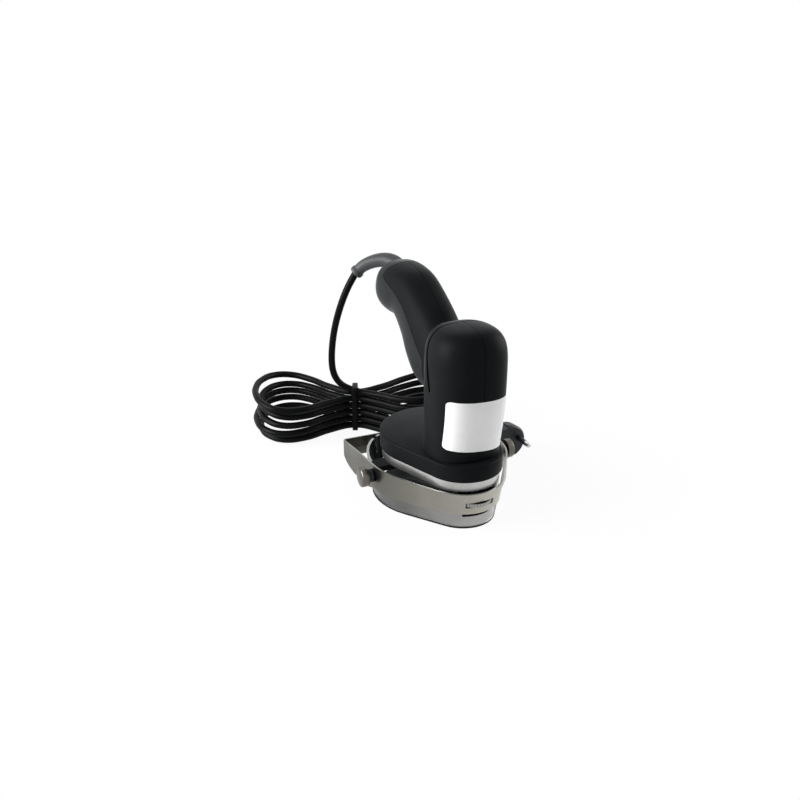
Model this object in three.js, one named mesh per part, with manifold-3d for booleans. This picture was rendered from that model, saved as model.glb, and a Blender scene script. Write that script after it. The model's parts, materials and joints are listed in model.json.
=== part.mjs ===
// Electric kebab slicer: a hand-held machine with a round blade under a gear head,
// a motor in an upright column, and a pistol grip that leaves the column over the blade.
// Millimetres, +Z up. The origin lies on the motor axis, on the plane that the machine rests on.
// +X runs from the motor nose to the blade end and the grip, and +Y is the left-hand side.
import * as THREE from "three";
import { mergeVertices } from "three/addons/utils/BufferGeometryUtils.js";
import Module from "manifold-3d";

const wasm = await Module();
wasm.setup();

// Clearances
const seatGap = 0.3; // between pieces that rest on each other
const shaftGap = 0.12; // between a shaft and what is fixed on it or runs on it
const slideGap = 0.5; // round the trigger and the pivot shanks
const bladeGap = 0.5; // between the blade and the shroud floor

// Gear drive
const gearModule = 1.5;
const pinionTeeth = 12;
const gearTeeth = 50;
const gearWidth = 8;
const pressureAngle = (25 * Math.PI) / 180;
const toothHeight = 0.8; // addendum in modules
const toothDepth = 1.05; // dedendum in modules
const toothPlay = 0.16; // taken off each tooth at the pitch circle
const axisDistance = (gearModule * (pinionTeeth + gearTeeth)) / 2;

// Blade and its spindle
const bladeRadius = 50;
const bladeSheet = 1.6;
const bladeBevel = 8;
const bladeDish = 4.6; // how far the hub stands above the edge
const dishInner = 20;
const dishOuter = 31;
const spindleThread = 5.5;
const spindleFlange = 15;
const flangeHeight = 3.6;
const spindleRadius = 8.9;
const spindleTop = 6;
const nutRadius = 12.5;
const nutHeight = 4;

// Blade shroud
const bladeRoom = 2.3; // between the blade's edge and the shroud's wall
const shroudNose = 27;
const shroudWall = 2.2;
const shroudWide = bladeRadius + bladeRoom + shroudWall;
const shroudFlare = 3; // the wide end leans out by this much at the top
const hemHeight = 1.4; // the rolled edge round the foot of the shroud
const hemReach = 0.6;
const shroudFloor = 1.5;
const floorReach = 9; // the nose floor ends this far in front of the motor axis
const shroudSide = 30; // rim height beside the pivots
const shroudFront = 37.5; // rim height at the two front ends
const frontLean = 5; // the wide end leans forward by this much at the top
const mouthAngle = (40 * Math.PI) / 180; // half of the front opening, seen from the blade axis
const lugLength = 14;
const lugWidth = 16;
const lugHeight = 5;
const slitWidth = 24;
const slitHeight = 2;
const slitLevel = 12.4;

// Guard frame, the steel strip that sets the slice
const guardWall = 1.4;
const stripGap = 1.6; // between the strip and the shroud inside it
const noseGap = 2.8;
const noseLean = 2.5; // the strip's nose leans out by this much at its top
const guardNose = shroudNose + noseGap + guardWall;
const guardWide = shroudWide + shroudFlare + stripGap + guardWall;
const guardSpread = 3; // the arms stand apart by this much more at their front ends, each
const frontReach = 9.5; // the front plate stands this far past the blade's edge
const guardFront = axisDistance + bladeRadius + frontReach;
const guardCorner = 3.4;
const guardTop = 33;
const guardFrontTop = 32;
const guardHump = 2.3; // the arms stand this much higher ahead of the pivots than the nose does
const guardBottom = 14.8;
const armBottom = 10;
const armStep = 40;
const armStepEnd = 54;
const armToe = 82;
const gaugeBottom = 21;
const lipBottom = 17;
const lipDepth = 5;
const lipHalf = 55;
const pivotX = 43;
const pivotZ = 25.5;
const slotWidth = 24.4;
const slotHeight = 4.7;
const slotLevel = 22.9;

// Pivot knobs and the thumb wheel
const shankRadius = 3;
const collarRadius = 5.6;
const collarLength = 3;
const neckRadius = 4.2;
const neckLength = 2;
const knobRadius = 8.2;
const knobLength = 6;
const pivotBoss = 6;
const wheelRadius = 14;
const wheelProud = 2; // how far the wheel stands out of the strip
const wheelTeeth = 36;
const wheelNotch = 0.5;
const wheelHeight = 3.2;
const studRadius = 3.5;
const wheelPlay = 1.6; // the wheel leans with the frame, so it is loose on its stud
const wheelLift = 8; // room above the wheel for its travel

// Gear housing and head cover
const housingNose = 26.6;
const housingWall = 3;
const gearRoom = 2.8; // between the large gear's teeth and the housing's wall
const housingWide = (gearModule * gearTeeth) / 2 + toothHeight * gearModule + gearRoom + housingWall;
const housingBottom = 34.5;
const housingHeight = 7.5;
const bossWall = 5;
const bossBottom = 15;
const coverNose = 32.2;
const coverWide = 48.2;
const coverHeight = 14.1;
const coverRoof = 3;
const coverEdge = 1.6;
const bearingLowerRadius = 14;
const bossRadius = bearingLowerRadius + bossWall;
const bearingLowerHeight = 8;
const bearingUpperRadius = 10.5;
const bearingUpperHeight = 4.6;
const bearingRim = 3.2;

// Column and grip shells
const wall = 3;
const seam = 0.3; // the parting line between the two halves
const panelSeam = 0.5; // the parting line round the grip cover
const grooveDepth = 1.5;
const outerPoints = 28;
const innerPoints = 16; // the inside of the walls is drawn with fewer sides
const bodyPower = 2.5; // how square the column's section is
const gripPower = 2.3;

// Column sections: height above its base, nose and back ends along X, half width
const columnSections = [
  { height: 0, nose: 25, back: 33, half: 29.2 },
  { height: 9, nose: 26.2, back: 31, half: 28.8 },
  { height: 38, nose: 30.4, back: 30.5, half: 29.6 },
  { height: 70, nose: 31, back: 30.5, half: 30 },
  { height: 85.5, nose: 30.2, back: 29.5, half: 29.4 },
  { height: 94.3, nose: 28, back: 26.5, half: 26.8 },
  { height: 100.2, nose: 23.6, back: 21, half: 21.8 },
  { height: 103, nose: 17.4, back: 14, half: 15 },
  { height: 104.2, nose: 8, back: 6, half: 6 },
];

// Grip sections: where the grip's axis is, its lean, its half depth and its half width
const gripSections = [
  { x: 6, height: 58, lean: 14, depth: 24, half: 19 },
  { x: 42, height: 64.6, lean: 24, depth: 31.4, half: 21 },
  { x: 58.2, height: 76.3, lean: 29, depth: 31.4, half: 21.6 },
  { x: 72, height: 90, lean: 29, depth: 26.8, half: 21.2 },
  { x: 91, height: 102.6, lean: 27, depth: 24.6, half: 20.8 },
  { x: 108, height: 105, lean: 20, depth: 25, half: 22.2 },
  { x: 122.5, height: 106, lean: 16, depth: 23.8, half: 21.8 },
  { x: 133.5, height: 107.4, lean: 16, depth: 19.6, half: 18.4 },
  { x: 140, height: 109.4, lean: 16, depth: 12.4, half: 12 },
  { x: 143.6, height: 110, lean: 16, depth: 5, half: 5 },
];

// The parting line of the grip cover, seen from the side
const panelLine = [
  [34, 18],
  [34, 66.5],
  [47, 78.3],
  [58, 89],
  [71, 99.3],
  [84, 106.3],
  [98, 112.2],
  [108, 115.3],
  [113, 117.8],
  [113.6, 120.6],
  [111, 124.6],
  [104, 134],
];

// The groove down each side of the column, seen from the side: its line and its half widths
const grooveLine = [
  { x: 6.4, height: 112, half: 0.5 },
  { x: 7.2, height: 96, half: 0.8 },
  { x: 7.2, height: 86, half: 1 },
  { x: 6.2, height: 76, half: 1.2 },
  { x: 3.6, height: 64, half: 1.3 },
  { x: 0.8, height: 53, half: 1.2 },
];

// Motor
const motorRadius = 21;
const motorWall = 2.6;
const motorHeight = 60;
const motorPlate = 4;
const magnetThick = 2.6;
const magnetSpan = 2.2; // radians
const armatureRadius = 14.6;
const armatureSlots = 9;
const armatureLevel = 13; // above the motor's base
const motorShaft = 4;
const shaftTail = 18; // the shaft's end above the motor's top
const shaftLength = motorHeight + shaftTail;
const commutatorRadius = 8;
const commutatorHeight = 10;
const brushRoom = 7; // between the commutator and the motor's top
const armatureHeight = motorHeight - armatureLevel - commutatorHeight - brushRoom;
const brushWidth = 5;
const brushHeight = 6;
const motorBearing = 8;
const fanRadius = 17.5;
const fanHeight = 6;
const fanBlades = 6;
const ribHeight = 3;
const ribLevels = [16, 46];

// Trigger and switch, on the underside of the grip
const triggerX = 72.4;
const triggerHeight = 48.2;
const triggerLean = (48 * Math.PI) / 180;
const triggerHalf = 11.5;
const triggerWidth = 16;
const triggerProud = 5.6;
const triggerFlange = 2;
const triggerSink = 9.5; // depth of the flange under the grip's skin
const plungerHalf = 3;
const plungerLength = 4;
const triggerTravel = 4;
const switchHalf = 9;
const switchDepth = 13;
const switchWidth = 12;
const postRadius = 3;

// Cord, strain relief and plug
const cordRadius = 3.25;
const bootStart = 7.2;
const bootEnd = 5;
const bootLip = 6.2;
const plugRadius = 16.6;
const plugLength = 38;
const plugX = 67;
const plugY = -86;
const plugTilt = (-18 * Math.PI) / 180;
const pinSpacing = 19;
const pinRadius = 2.4;
const pinLength = 19;
const pinSeat = 6;

// Cord hank: a stack of loops, tied at its waist
const hankX = 190;
const hankY = 19;
const hankTurn = (66 * Math.PI) / 180; // direction of its long axis from +X
const turnSteps = 24;
const hankSteps = 121;
const startTurn = 0.008; // the loops start this part of a turn past the waist
const waistHalf = 3.75; // from the hank's middle to each column of strands at the waist
const leftHalf = 43; // half width of each lobe
const rightHalf = 36;
const halfSway = 2.5; // how much the loops differ in width and in reach
const leftReach = 95.5;
const rightReach = 95;
const reachSway = 3;
const lobeRound = 0.5; // a larger figure makes the lobes open more slowly from the waist
const leftBow = 5; // how far each lobe leans away at its end
const rightBow = 14;
const bowReach = 94;
const layerPitch = 7.15;
const lobeSpread = 1.9; // the layers stand this much further apart in the lobes
const waistLift = 1.95;
const jointGap = 0.9; // where the lead and the tail meet the hank
const tieWidth = 5;
const tieSlack = 2;
const tieThick = 1.2;

// Derived levels
const housingTop = housingBottom + housingHeight;
const coverBottom = housingTop + seatGap;
const coverTop = coverBottom + coverHeight;
const columnBottom = coverTop + seatGap;
const bladeBottom = shroudFloor + bladeGap;
const hubTop = bladeBottom + bladeDish + bladeSheet;
const gearBottom = housingBottom + housingWall + 1;
const gearTop = gearBottom + gearWidth;
const noseAt = (z) => guardNose + (noseLean * (z - guardBottom)) / (guardTop - guardBottom);
const wheelX = -(noseAt(slotLevel) + wheelProud - wheelRadius);
const motorBase = columnBottom + seatGap;

// Materials
const finish = (color, roughness, metalness) => new THREE.MeshStandardMaterial({ color, roughness, metalness });
const blackPlastic = finish(0x1c1d1e, 0.6, 0);
const gripRubber = finish(0x18191a, 0.7, 0);
const stainless = finish(0xa8a298, 0.35, 1);
const castAluminium = finish(0xb4b4b2, 0.45, 1);
const bladeSteel = finish(0xc2c3c4, 0.25, 1);
const turnedSteel = finish(0x8f8a82, 0.35, 1);
const gearNylon = finish(0xd8d4c4, 0.55, 0);
const gearSteel = finish(0x77797c, 0.4, 1);
const canSteel = finish(0x8c8e90, 0.45, 1);
const copper = finish(0xb06a3c, 0.4, 1);
const carbon = finish(0x2a2a2c, 0.8, 0);
const magnetGrey = finish(0x3c3d3f, 0.7, 0.2);
const cordBlack = finish(0x141516, 0.55, 0);
const plugBlack = finish(0x202429, 0.5, 0);
const nickel = finish(0xcfcabd, 0.3, 1);

// Solids

// A closed surface as a solid, whichever way its faces were wound.
function solid(geometry) {
  const bare = new THREE.BufferGeometry();
  const flat = geometry.index ? geometry.toNonIndexed() : geometry;
  bare.setAttribute("position", flat.getAttribute("position"));
  const merged = mergeVertices(bare, 1e-4);
  const source = merged.index.array;
  const faces = [];
  for (let i = 0; i < source.length; i += 3) {
    const [a, b, c] = [source[i], source[i + 1], source[i + 2]];
    if (a !== b && b !== c && c !== a) faces.push(a, b, c);
  }
  const make = (list) =>
    new wasm.Manifold(
      new wasm.Mesh({
        numProp: 3,
        vertProperties: Float32Array.from(merged.attributes.position.array),
        triVerts: Uint32Array.from(list),
      }),
    );
  const first = make(faces);
  if (first.volume() > 0) return first;
  const turned = [];
  for (let i = 0; i < faces.length; i += 3) turned.push(faces[i], faces[i + 2], faces[i + 1]);
  return make(turned);
}

const join = (first, ...rest) => rest.reduce((sum, piece) => sum.add(piece), first);
const cut = (first, ...rest) => rest.reduce((left, piece) => left.subtract(piece), first);
const common = (first, second) => first.intersect(second);

// A solid's surface, back as a geometry.
function surface(body) {
  const mesh = body.getMesh();
  const geometry = new THREE.BufferGeometry();
  const points = new Float32Array(mesh.numVert * 3);
  for (let i = 0; i < mesh.numVert; i++) {
    points.set(mesh.vertProperties.subarray(i * mesh.numProp, i * mesh.numProp + 3), i * 3);
  }
  geometry.setAttribute("position", new THREE.BufferAttribute(points, 3));
  geometry.setIndex(new THREE.BufferAttribute(mesh.triVerts, 1));
  return geometry;
}

function box(x0, x1, y0, y1, z0, z1) {
  const geometry = new THREE.BoxGeometry(x1 - x0, y1 - y0, z1 - z0);
  geometry.translate((x0 + x1) / 2, (y0 + y1) / 2, (z0 + z1) / 2);
  return solid(geometry);
}

const roundSteps = (radius) => (radius > 30 ? 48 : radius > 12 ? 28 : radius > 5 ? 20 : 14);

// A turned piece about the Z axis through x, y, from its profile of [radius, height] points.
function turned(profile, x = 0, y = 0) {
  const widest = Math.max(...profile.map((point) => point[0]));
  const closed = profile[0][0] > 0 ? [...profile, profile[0]] : profile;
  const points = closed.map(([radius, height]) => new THREE.Vector2(radius, height));
  const geometry = new THREE.LatheGeometry(points, roundSteps(widest));
  geometry.rotateX(Math.PI / 2);
  geometry.translate(x, y, 0);
  return solid(geometry);
}

const rod = (radius, z0, z1, x = 0, y = 0) =>
  turned([[0, z0], [radius, z0], [radius, z1], [0, z1]], x, y);

const tube = (inner, outer, z0, z1, x = 0, y = 0) =>
  turned([[inner, z0], [outer, z0], [outer, z1], [inner, z1]], x, y);

// A flat outline of [x, y] points, raised from z0 to z1, with an optional hole.
function plate(outline, z0, z1, hole) {
  const shape = new THREE.Shape(outline.map(([x, y]) => new THREE.Vector2(x, y)));
  if (hole) shape.holes.push(new THREE.Path(hole.map(([x, y]) => new THREE.Vector2(x, y))));
  const geometry = new THREE.ExtrudeGeometry(shape, { depth: z1 - z0, bevelEnabled: false });
  geometry.translate(0, 0, z0);
  return solid(geometry);
}

// A side outline of [x, z] points, carried across from y0 to y1.
function sidePlate(outline, y0, y1) {
  const shape = new THREE.Shape(outline.map(([x, z]) => new THREE.Vector2(x, z)));
  const geometry = new THREE.ExtrudeGeometry(shape, { depth: y1 - y0, bevelEnabled: false });
  geometry.rotateX(Math.PI / 2);
  geometry.translate(0, y1, 0);
  return solid(geometry);
}

// A rod along Y, through x, z.
function crossRod(radius, y0, y1, x, z) {
  const geometry = new THREE.CylinderGeometry(radius, radius, y1 - y0, roundSteps(radius));
  geometry.translate(x, (y0 + y1) / 2, z);
  return solid(geometry);
}

// A skin through rings of points, closed at both ends.
function loft(rings) {
  const count = rings[0].length;
  const points = [];
  const faces = [];
  const middle = (ring) => ring.reduce((sum, p) => sum.add(p), new THREE.Vector3()).divideScalar(count);
  rings.forEach((ring) => ring.forEach((p) => points.push(p.x, p.y, p.z)));
  for (let i = 0; i + 1 < rings.length; i++) {
    for (let k = 0; k < count; k++) {
      const a = i * count + k;
      const b = i * count + ((k + 1) % count);
      faces.push(a, b, b + count, a, b + count, a + count);
    }
  }
  const first = middle(rings[0]);
  const last = middle(rings[rings.length - 1]);
  const firstIndex = points.length / 3;
  points.push(first.x, first.y, first.z, last.x, last.y, last.z);
  const start = (rings.length - 1) * count;
  for (let k = 0; k < count; k++) {
    const next = (k + 1) % count;
    faces.push(firstIndex, next, k);
    faces.push(firstIndex + 1, start + k, start + next);
  }
  const geometry = new THREE.BufferGeometry();
  geometry.setAttribute("position", new THREE.BufferAttribute(Float32Array.from(points), 3));
  geometry.setIndex(faces);
  return solid(geometry);
}

// Points along an arc, both ends included.
function arc(x, y, radius, from, to, steps) {
  return Array.from({ length: steps + 1 }, (_, i) => {
    const angle = from + ((to - from) * i) / steps;
    return [x + radius * Math.cos(angle), y + radius * Math.sin(angle)];
  });
}

// The head's outline: a small circle at the motor, a large one at the blade, and their tangents.
function headOutline(nose, wide, centre = axisDistance) {
  const turn = Math.acos((nose - wide) / centre);
  const large = arc(centre, 0, wide, -turn, turn, 30);
  const small = arc(0, 0, nose, turn, 2 * Math.PI - turn, 14);
  return [...large, ...small];
}

const headPlate = (nose, wide, z0, z1) => plate(headOutline(nose, wide), z0, z1);
const atLevel = (outline, z) => outline.map(([x, y]) => new THREE.Vector3(x, y, z));

// A rounded section: centre, its two half axes as vectors, and how square it is.
function section(centre, across, up, power, count) {
  return Array.from({ length: count }, (_, i) => {
    const angle = (2 * Math.PI * (i + 0.5)) / count;
    const bend = (value) => Math.sign(value) * Math.abs(value) ** (2 / power);
    const p = centre.clone();
    p.addScaledVector(across, bend(Math.cos(angle)));
    return p.addScaledVector(up, bend(Math.sin(angle)));
  });
}

// Column and grip

const sidesOf = (inset) => (inset < wall ? outerPoints : innerPoints);

// The column's outer form, drawn in by an inset, and carried down past its base by an overrun.
function columnForm(inset, overrun = 0) {
  const rings = columnSections.map(({ height, nose, back, half }, i) => {
    const level = i === 0 ? height - overrun : height;
    const drop = i >= columnSections.length - 2 ? inset : 0;
    const along = (nose + back) / 2 - inset;
    const centre = new THREE.Vector3((back - nose) / 2, 0, level - drop);
    const narrow = Math.max(along, 1.5);
    const shallow = Math.max(half - inset, 1.5);
    const across = new THREE.Vector3(narrow, 0, 0);
    return section(centre, across, new THREE.Vector3(0, shallow, 0), bodyPower, sidesOf(inset));
  });
  return loft(rings);
}

// The grip's outer form, drawn in by an inset.
function gripForm(inset) {
  const last = gripSections.length - 1;
  const rings = gripSections.map(({ x, height, lean, depth, half }, i) => {
    const angle = (lean * Math.PI) / 180;
    const back = i >= last - 1 ? inset : 0;
    const centre = new THREE.Vector3(x - back * Math.cos(angle), 0, height - back * Math.sin(angle));
    const deep = Math.max(depth - inset, 1.5);
    const wide = Math.max(half - inset, 1.5);
    const up = new THREE.Vector3(-Math.sin(angle) * deep, 0, Math.cos(angle) * deep);
    return section(centre, new THREE.Vector3(0, wide, 0), up, gripPower, sidesOf(inset));
  });
  return loft(rings);
}

// A line of [x, z] points as a narrow band of the given half widths.
function stroke(line, halves) {
  const left = [];
  const right = [];
  line.forEach(([x, z], i) => {
    const [ax, az] = line[Math.max(i - 1, 0)];
    const [bx, bz] = line[Math.min(i + 1, line.length - 1)];
    const length = Math.hypot(bx - ax, bz - az);
    const nx = -(bz - az) / length;
    const nz = (bx - ax) / length;
    left.push([x + nx * halves[i], z + nz * halves[i]]);
    right.push([x - nx * halves[i], z - nz * halves[i]]);
  });
  return [...left, ...right.reverse()];
}

// The trigger's own directions: along the grip's underside, and out of it.
const triggerAlong = [Math.cos(triggerLean), Math.sin(triggerLean)];
const triggerOut = [Math.sin(triggerLean), -Math.cos(triggerLean)];
const triggerPoint = (u, w) => [
  triggerX + u * triggerAlong[0] + w * triggerOut[0],
  triggerHeight + u * triggerAlong[1] + w * triggerOut[1],
];
const triggerOutline = (points) => points.map(([u, w]) => triggerPoint(u, w));
const switchTop = -(triggerSink + triggerFlange + plungerLength + triggerTravel + slideGap);
const switchMiddle = triggerPoint(0, switchTop - switchDepth / 2);

// The strain relief's route, from inside the grip's end, and its radius along it
const bootRoute = new THREE.CatmullRomCurve3([
  new THREE.Vector3(124, 0, 175.5),
  new THREE.Vector3(131, 0.8, 179),
  new THREE.Vector3(138.8, 5.2, 180.8),
  new THREE.Vector3(147.4, 13, 179),
  new THREE.Vector3(154.8, 21.4, 173.8),
  new THREE.Vector3(159.2, 27.2, 167),
]);

// A tube along a curve, with its own radius at each of its rings.
function routeTube(route, radii, sides) {
  const steps = radii.length - 1;
  const rings = radii.map((radius, i) => {
    const at = i / steps;
    const centre = route.getPointAt(at);
    const heading = route.getTangentAt(at);
    const across = new THREE.Vector3(0, 0, 1).cross(heading).normalize();
    const up = heading.clone().cross(across);
    return Array.from({ length: sides }, (_, k) => {
      const angle = (2 * Math.PI * (k + 0.5)) / sides;
      const p = centre.clone().addScaledVector(across, radius * Math.cos(angle));
      return p.addScaledVector(up, radius * Math.sin(angle));
    });
  });
  return loft(rings);
}

const bootSteps = 14;
const bootRadii = Array.from({ length: bootSteps + 1 }, (_, i) =>
  i >= bootSteps - 1 ? bootLip : bootStart + ((bootEnd - bootStart) * i) / bootSteps,
);
const strainRelief = routeTube(bootRoute, bootRadii, 14);
const bootHole = routeTube(bootRoute, bootRadii.map((radius) => radius + seatGap), 14);

// The whole moulded skin, before it is parted
function moulding() {
  const ribs = ribLevels.map((level) => {
    const slab = box(-60, 60, -60, 60, level, level + ribHeight);
    return cut(common(columnForm(wall / 2), slab), rod(motorRadius + seatGap, level - 1, level + ribHeight + 1));
  });
  const [postX, postZ] = switchMiddle;
  const postStart = switchWidth / 2 + seatGap;
  const posts = [1, -1].map((side) => {
    const ends = [side * postStart, side * (switchWidth / 2 + 13.5)].sort((a, b) => a - b);
    return crossRod(postRadius, ends[0], ends[1], postX, postZ);
  });
  const slot = sidePlate(
    triggerOutline([
      [-triggerHalf - slideGap, -triggerSink - 4],
      [triggerHalf + slideGap, -triggerSink - 4],
      [triggerHalf + slideGap, 12],
      [-triggerHalf - slideGap, 12],
    ]),
    -triggerWidth / 2 - slideGap,
    triggerWidth / 2 + slideGap,
  );
  const groove = sidePlate(
    stroke(grooveLine.map(({ x, height }) => [x, height]), grooveLine.map(({ half }) => half)),
    -50,
    50,
  );
  const outer = join(columnForm(0), gripForm(0));
  const inner = join(columnForm(wall, 2), gripForm(wall));
  const grooveCut = cut(common(columnForm(-1), groove), columnForm(grooveDepth), gripForm(0));
  const skin = join(cut(outer, inner), ...ribs, ...posts);
  return cut(skin, slot, grooveCut, bootHole.translate([0, 0, -columnBottom]));
}

const panelBand = sidePlate(stroke(panelLine, panelLine.map(() => panelSeam / 2)), -60, 60);
const panelRegion = sidePlate([...panelLine, [180, 134], [180, 18]], -60, 60);
const skin = moulding();
const upperSkin = cut(skin, panelRegion, panelBand);
const coverSkin = cut(common(skin, panelRegion), panelBand);
const housingLeft = common(upperSkin, box(-80, 200, seam / 2, 60, -5, 160));
const housingRight = common(upperSkin, box(-80, 200, -60, -seam / 2, -5, 160));

const triggerBody = sidePlate(
  triggerOutline([
    [-plungerHalf, -triggerSink - triggerFlange - plungerLength],
    [plungerHalf, -triggerSink - triggerFlange - plungerLength],
    [plungerHalf, -triggerSink - triggerFlange],
    [triggerHalf + triggerFlange, -triggerSink - triggerFlange],
    [triggerHalf + triggerFlange, -triggerSink],
    [triggerHalf, -triggerSink],
    [triggerHalf, triggerProud - 2.6],
    [triggerHalf - 2.2, triggerProud - 0.4],
    [triggerHalf - 5, triggerProud],
    [triggerHalf / 3, triggerProud - 1.1],
    [-triggerHalf / 3, triggerProud - 1.1],
    [5 - triggerHalf, triggerProud],
    [2.2 - triggerHalf, triggerProud - 0.4],
    [-triggerHalf, triggerProud - 2.6],
    [-triggerHalf, -triggerSink],
    [-triggerHalf - triggerFlange, -triggerSink],
    [-triggerHalf - triggerFlange, -triggerSink - triggerFlange],
    [-plungerHalf, -triggerSink - triggerFlange],
  ]),
  -triggerWidth / 2,
  triggerWidth / 2,
);

const switchBody = sidePlate(
  triggerOutline([
    [-switchHalf, switchTop - switchDepth],
    [switchHalf, switchTop - switchDepth],
    [switchHalf, switchTop],
    [-switchHalf, switchTop],
  ]),
  -switchWidth / 2,
  switchWidth / 2,
);

// Motor, modelled from its own base
const motorCan = cut(
  rod(motorRadius, 0, motorHeight),
  rod(motorRadius - motorWall, motorPlate, motorHeight + 1),
  rod(motorBearing + seatGap, -1, motorPlate - 1),
  rod(motorShaft + 1.2, -1, motorPlate + 1),
);
const bearingRing = (z0, z1) => tube(motorShaft + shaftGap, motorBearing, z0, z1);
const magnetOuter = motorRadius - motorWall - seatGap;
const magnetOutline = (turn) => [
  ...arc(0, 0, magnetOuter, turn - magnetSpan / 2, turn + magnetSpan / 2, 12),
  ...arc(0, 0, magnetOuter - magnetThick, turn + magnetSpan / 2, turn - magnetSpan / 2, 12),
];
const armatureTop = armatureLevel + armatureHeight;
const slotWide = (2 * Math.PI * armatureRadius) / armatureSlots / 4;
const armatureSlot = (turn) =>
  box(armatureRadius - 4, armatureRadius + 2, -slotWide / 2, slotWide / 2, armatureLevel - 1, armatureTop + 1)
    .rotate([0, 0, (turn * 360) / armatureSlots]);
const armature = cut(
  tube(motorShaft + shaftGap, armatureRadius, armatureLevel, armatureTop),
  ...Array.from({ length: armatureSlots }, (_, i) => armatureSlot(i)),
);
const commutatorBottom = armatureTop + seatGap;
const commutator = tube(motorShaft + shaftGap, commutatorRadius, commutatorBottom, commutatorBottom + commutatorHeight);
const brushMiddle = commutatorBottom + commutatorHeight / 2;
const brushInner = commutatorRadius + seatGap;
const brushOuter = motorRadius - motorWall - 1.5;
const brush = (side) =>
  box(
    Math.min(side * brushInner, side * brushOuter),
    Math.max(side * brushInner, side * brushOuter),
    -brushWidth / 2,
    brushWidth / 2,
    brushMiddle - brushHeight / 2,
    brushMiddle + brushHeight / 2,
  );
const capBottom = motorHeight + seatGap;
const holderInner = commutatorRadius + 2;
const brushHolder = (side) =>
  box(
    Math.min(side * holderInner, side * brushOuter),
    Math.max(side * holderInner, side * brushOuter),
    -brushWidth / 2 - 1,
    brushWidth / 2 + 1,
    brushMiddle + brushHeight / 2 + seatGap,
    capBottom + 1,
  );
const endCap = cut(
  join(rod(motorRadius, capBottom, capBottom + motorPlate), brushHolder(1), brushHolder(-1)),
  rod(motorBearing + seatGap, capBottom + 1, capBottom + motorPlate + 1),
  rod(motorShaft + 1.2, capBottom - 1, capBottom + motorPlate),
);
const fanBottom = capBottom + motorPlate + 1;
const fanBlade = (i) =>
  box(motorShaft + 1, fanRadius, -0.7, 0.7, fanBottom + 1, fanBottom + fanHeight)
    .rotate([0, 0, (i * 360) / fanBlades]);
const fan = cut(
  join(
    rod(fanRadius, fanBottom, fanBottom + 1.2),
    rod(motorShaft + 3, fanBottom, fanBottom + fanHeight),
    ...Array.from({ length: fanBlades }, (_, i) => fanBlade(i)),
  ),
  rod(motorShaft + shaftGap, fanBottom - 1, fanBottom + fanHeight + 1),
);
const shaftRod = rod(motorShaft, gearBottom - motorBase, shaftLength);

// Gears

// The outline of a spur gear with involute flanks, with a tooth centred on the angle given.
function gearOutline(teeth, centred) {
  const pitch = (gearModule * teeth) / 2;
  const base = pitch * Math.cos(pressureAngle);
  const tip = pitch + toothHeight * gearModule;
  const root = pitch - toothDepth * gearModule;
  const involute = (angle) => Math.tan(angle) - angle;
  const half = Math.PI / (2 * teeth) - toothPlay / (2 * pitch) + involute(pressureAngle);
  const flank = (radius) => half - involute(Math.acos(Math.min(1, base / radius)));
  const start = Math.max(base, root);
  const radii = [0, 0.5, 1].map((share) => start + (tip - start) * share);
  const points = [];
  for (let i = 0; i < teeth; i++) {
    const middle = centred + (2 * Math.PI * i) / teeth;
    const side = (radius, angle) => points.push([radius * Math.cos(middle + angle), radius * Math.sin(middle + angle)]);
    if (root < base) side(root, -flank(start));
    radii.forEach((radius) => side(radius, -flank(radius)));
    [...radii].reverse().forEach((radius) => side(radius, flank(radius)));
    if (root < base) side(root, flank(start));
  }
  return points;
}

const pinion = cut(plate(gearOutline(pinionTeeth, 0), gearBottom, gearTop), rod(motorShaft + shaftGap, 0, 90));
const gearSeat = spindleRadius - 0.9;
const gearBlank = plate(gearOutline(gearTeeth, Math.PI + Math.PI / gearTeeth), gearBottom, gearTop);
const driveGear = cut(gearBlank, rod(gearSeat + shaftGap, 0, 90)).translate([axisDistance, 0, 0]);

// Blade and spindle
const edge = bladeBottom;
const hub = bladeBottom + bladeDish;
const blade = turned(
  [
    [spindleThread + shaftGap, hub],
    [dishInner, hub],
    [dishOuter, edge],
    [bladeRadius, edge],
    [bladeRadius, edge + 0.25],
    [bladeRadius - bladeBevel, edge + bladeSheet],
    [dishOuter + 0.4, edge + bladeSheet],
    [dishInner + 0.4, hub + bladeSheet],
    [spindleThread + shaftGap, hub + bladeSheet],
  ],
  axisDistance,
);
const flangeBottom = hubTop + seatGap;
const gearShoulder = gearBottom - seatGap;
const upperShoulder = gearTop + seatGap;
const spindleEnd = coverTop - coverRoof;
const spindle = turned(
  [
    [0, edge + 0.4],
    [spindleThread, edge + 0.4],
    [spindleThread, flangeBottom],
    [spindleFlange, flangeBottom],
    [spindleFlange, flangeBottom + flangeHeight - 1],
    [spindleFlange - 1, flangeBottom + flangeHeight],
    [spindleRadius, flangeBottom + flangeHeight],
    [spindleRadius, gearShoulder],
    [gearSeat, gearShoulder],
    [gearSeat, upperShoulder],
    [spindleTop, upperShoulder],
    [spindleTop, spindleEnd],
    [0, spindleEnd],
  ],
  axisDistance,
);
const nutTop = hub - seatGap;
const nutSlot = (turn) =>
  box(nutRadius - 3, nutRadius + 2, -1.6, 1.6, nutTop - nutHeight - 1, nutTop + 1).rotate([0, 0, turn * 90]);
const nut = cut(
  tube(spindleThread + shaftGap, nutRadius, nutTop - nutHeight, nutTop),
  ...[0, 1, 2, 3].map((turn) => nutSlot(turn)),
).translate([axisDistance, 0, 0]);

const lowerBearing = tube(
  spindleRadius + shaftGap,
  bearingLowerRadius,
  bossBottom + 0.6,
  bossBottom + 0.6 + bearingLowerHeight,
  axisDistance,
);
const upperBearing = tube(
  spindleTop + shaftGap,
  bearingUpperRadius,
  spindleEnd - bearingUpperHeight - seatGap,
  spindleEnd - seatGap,
  axisDistance,
);

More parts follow.
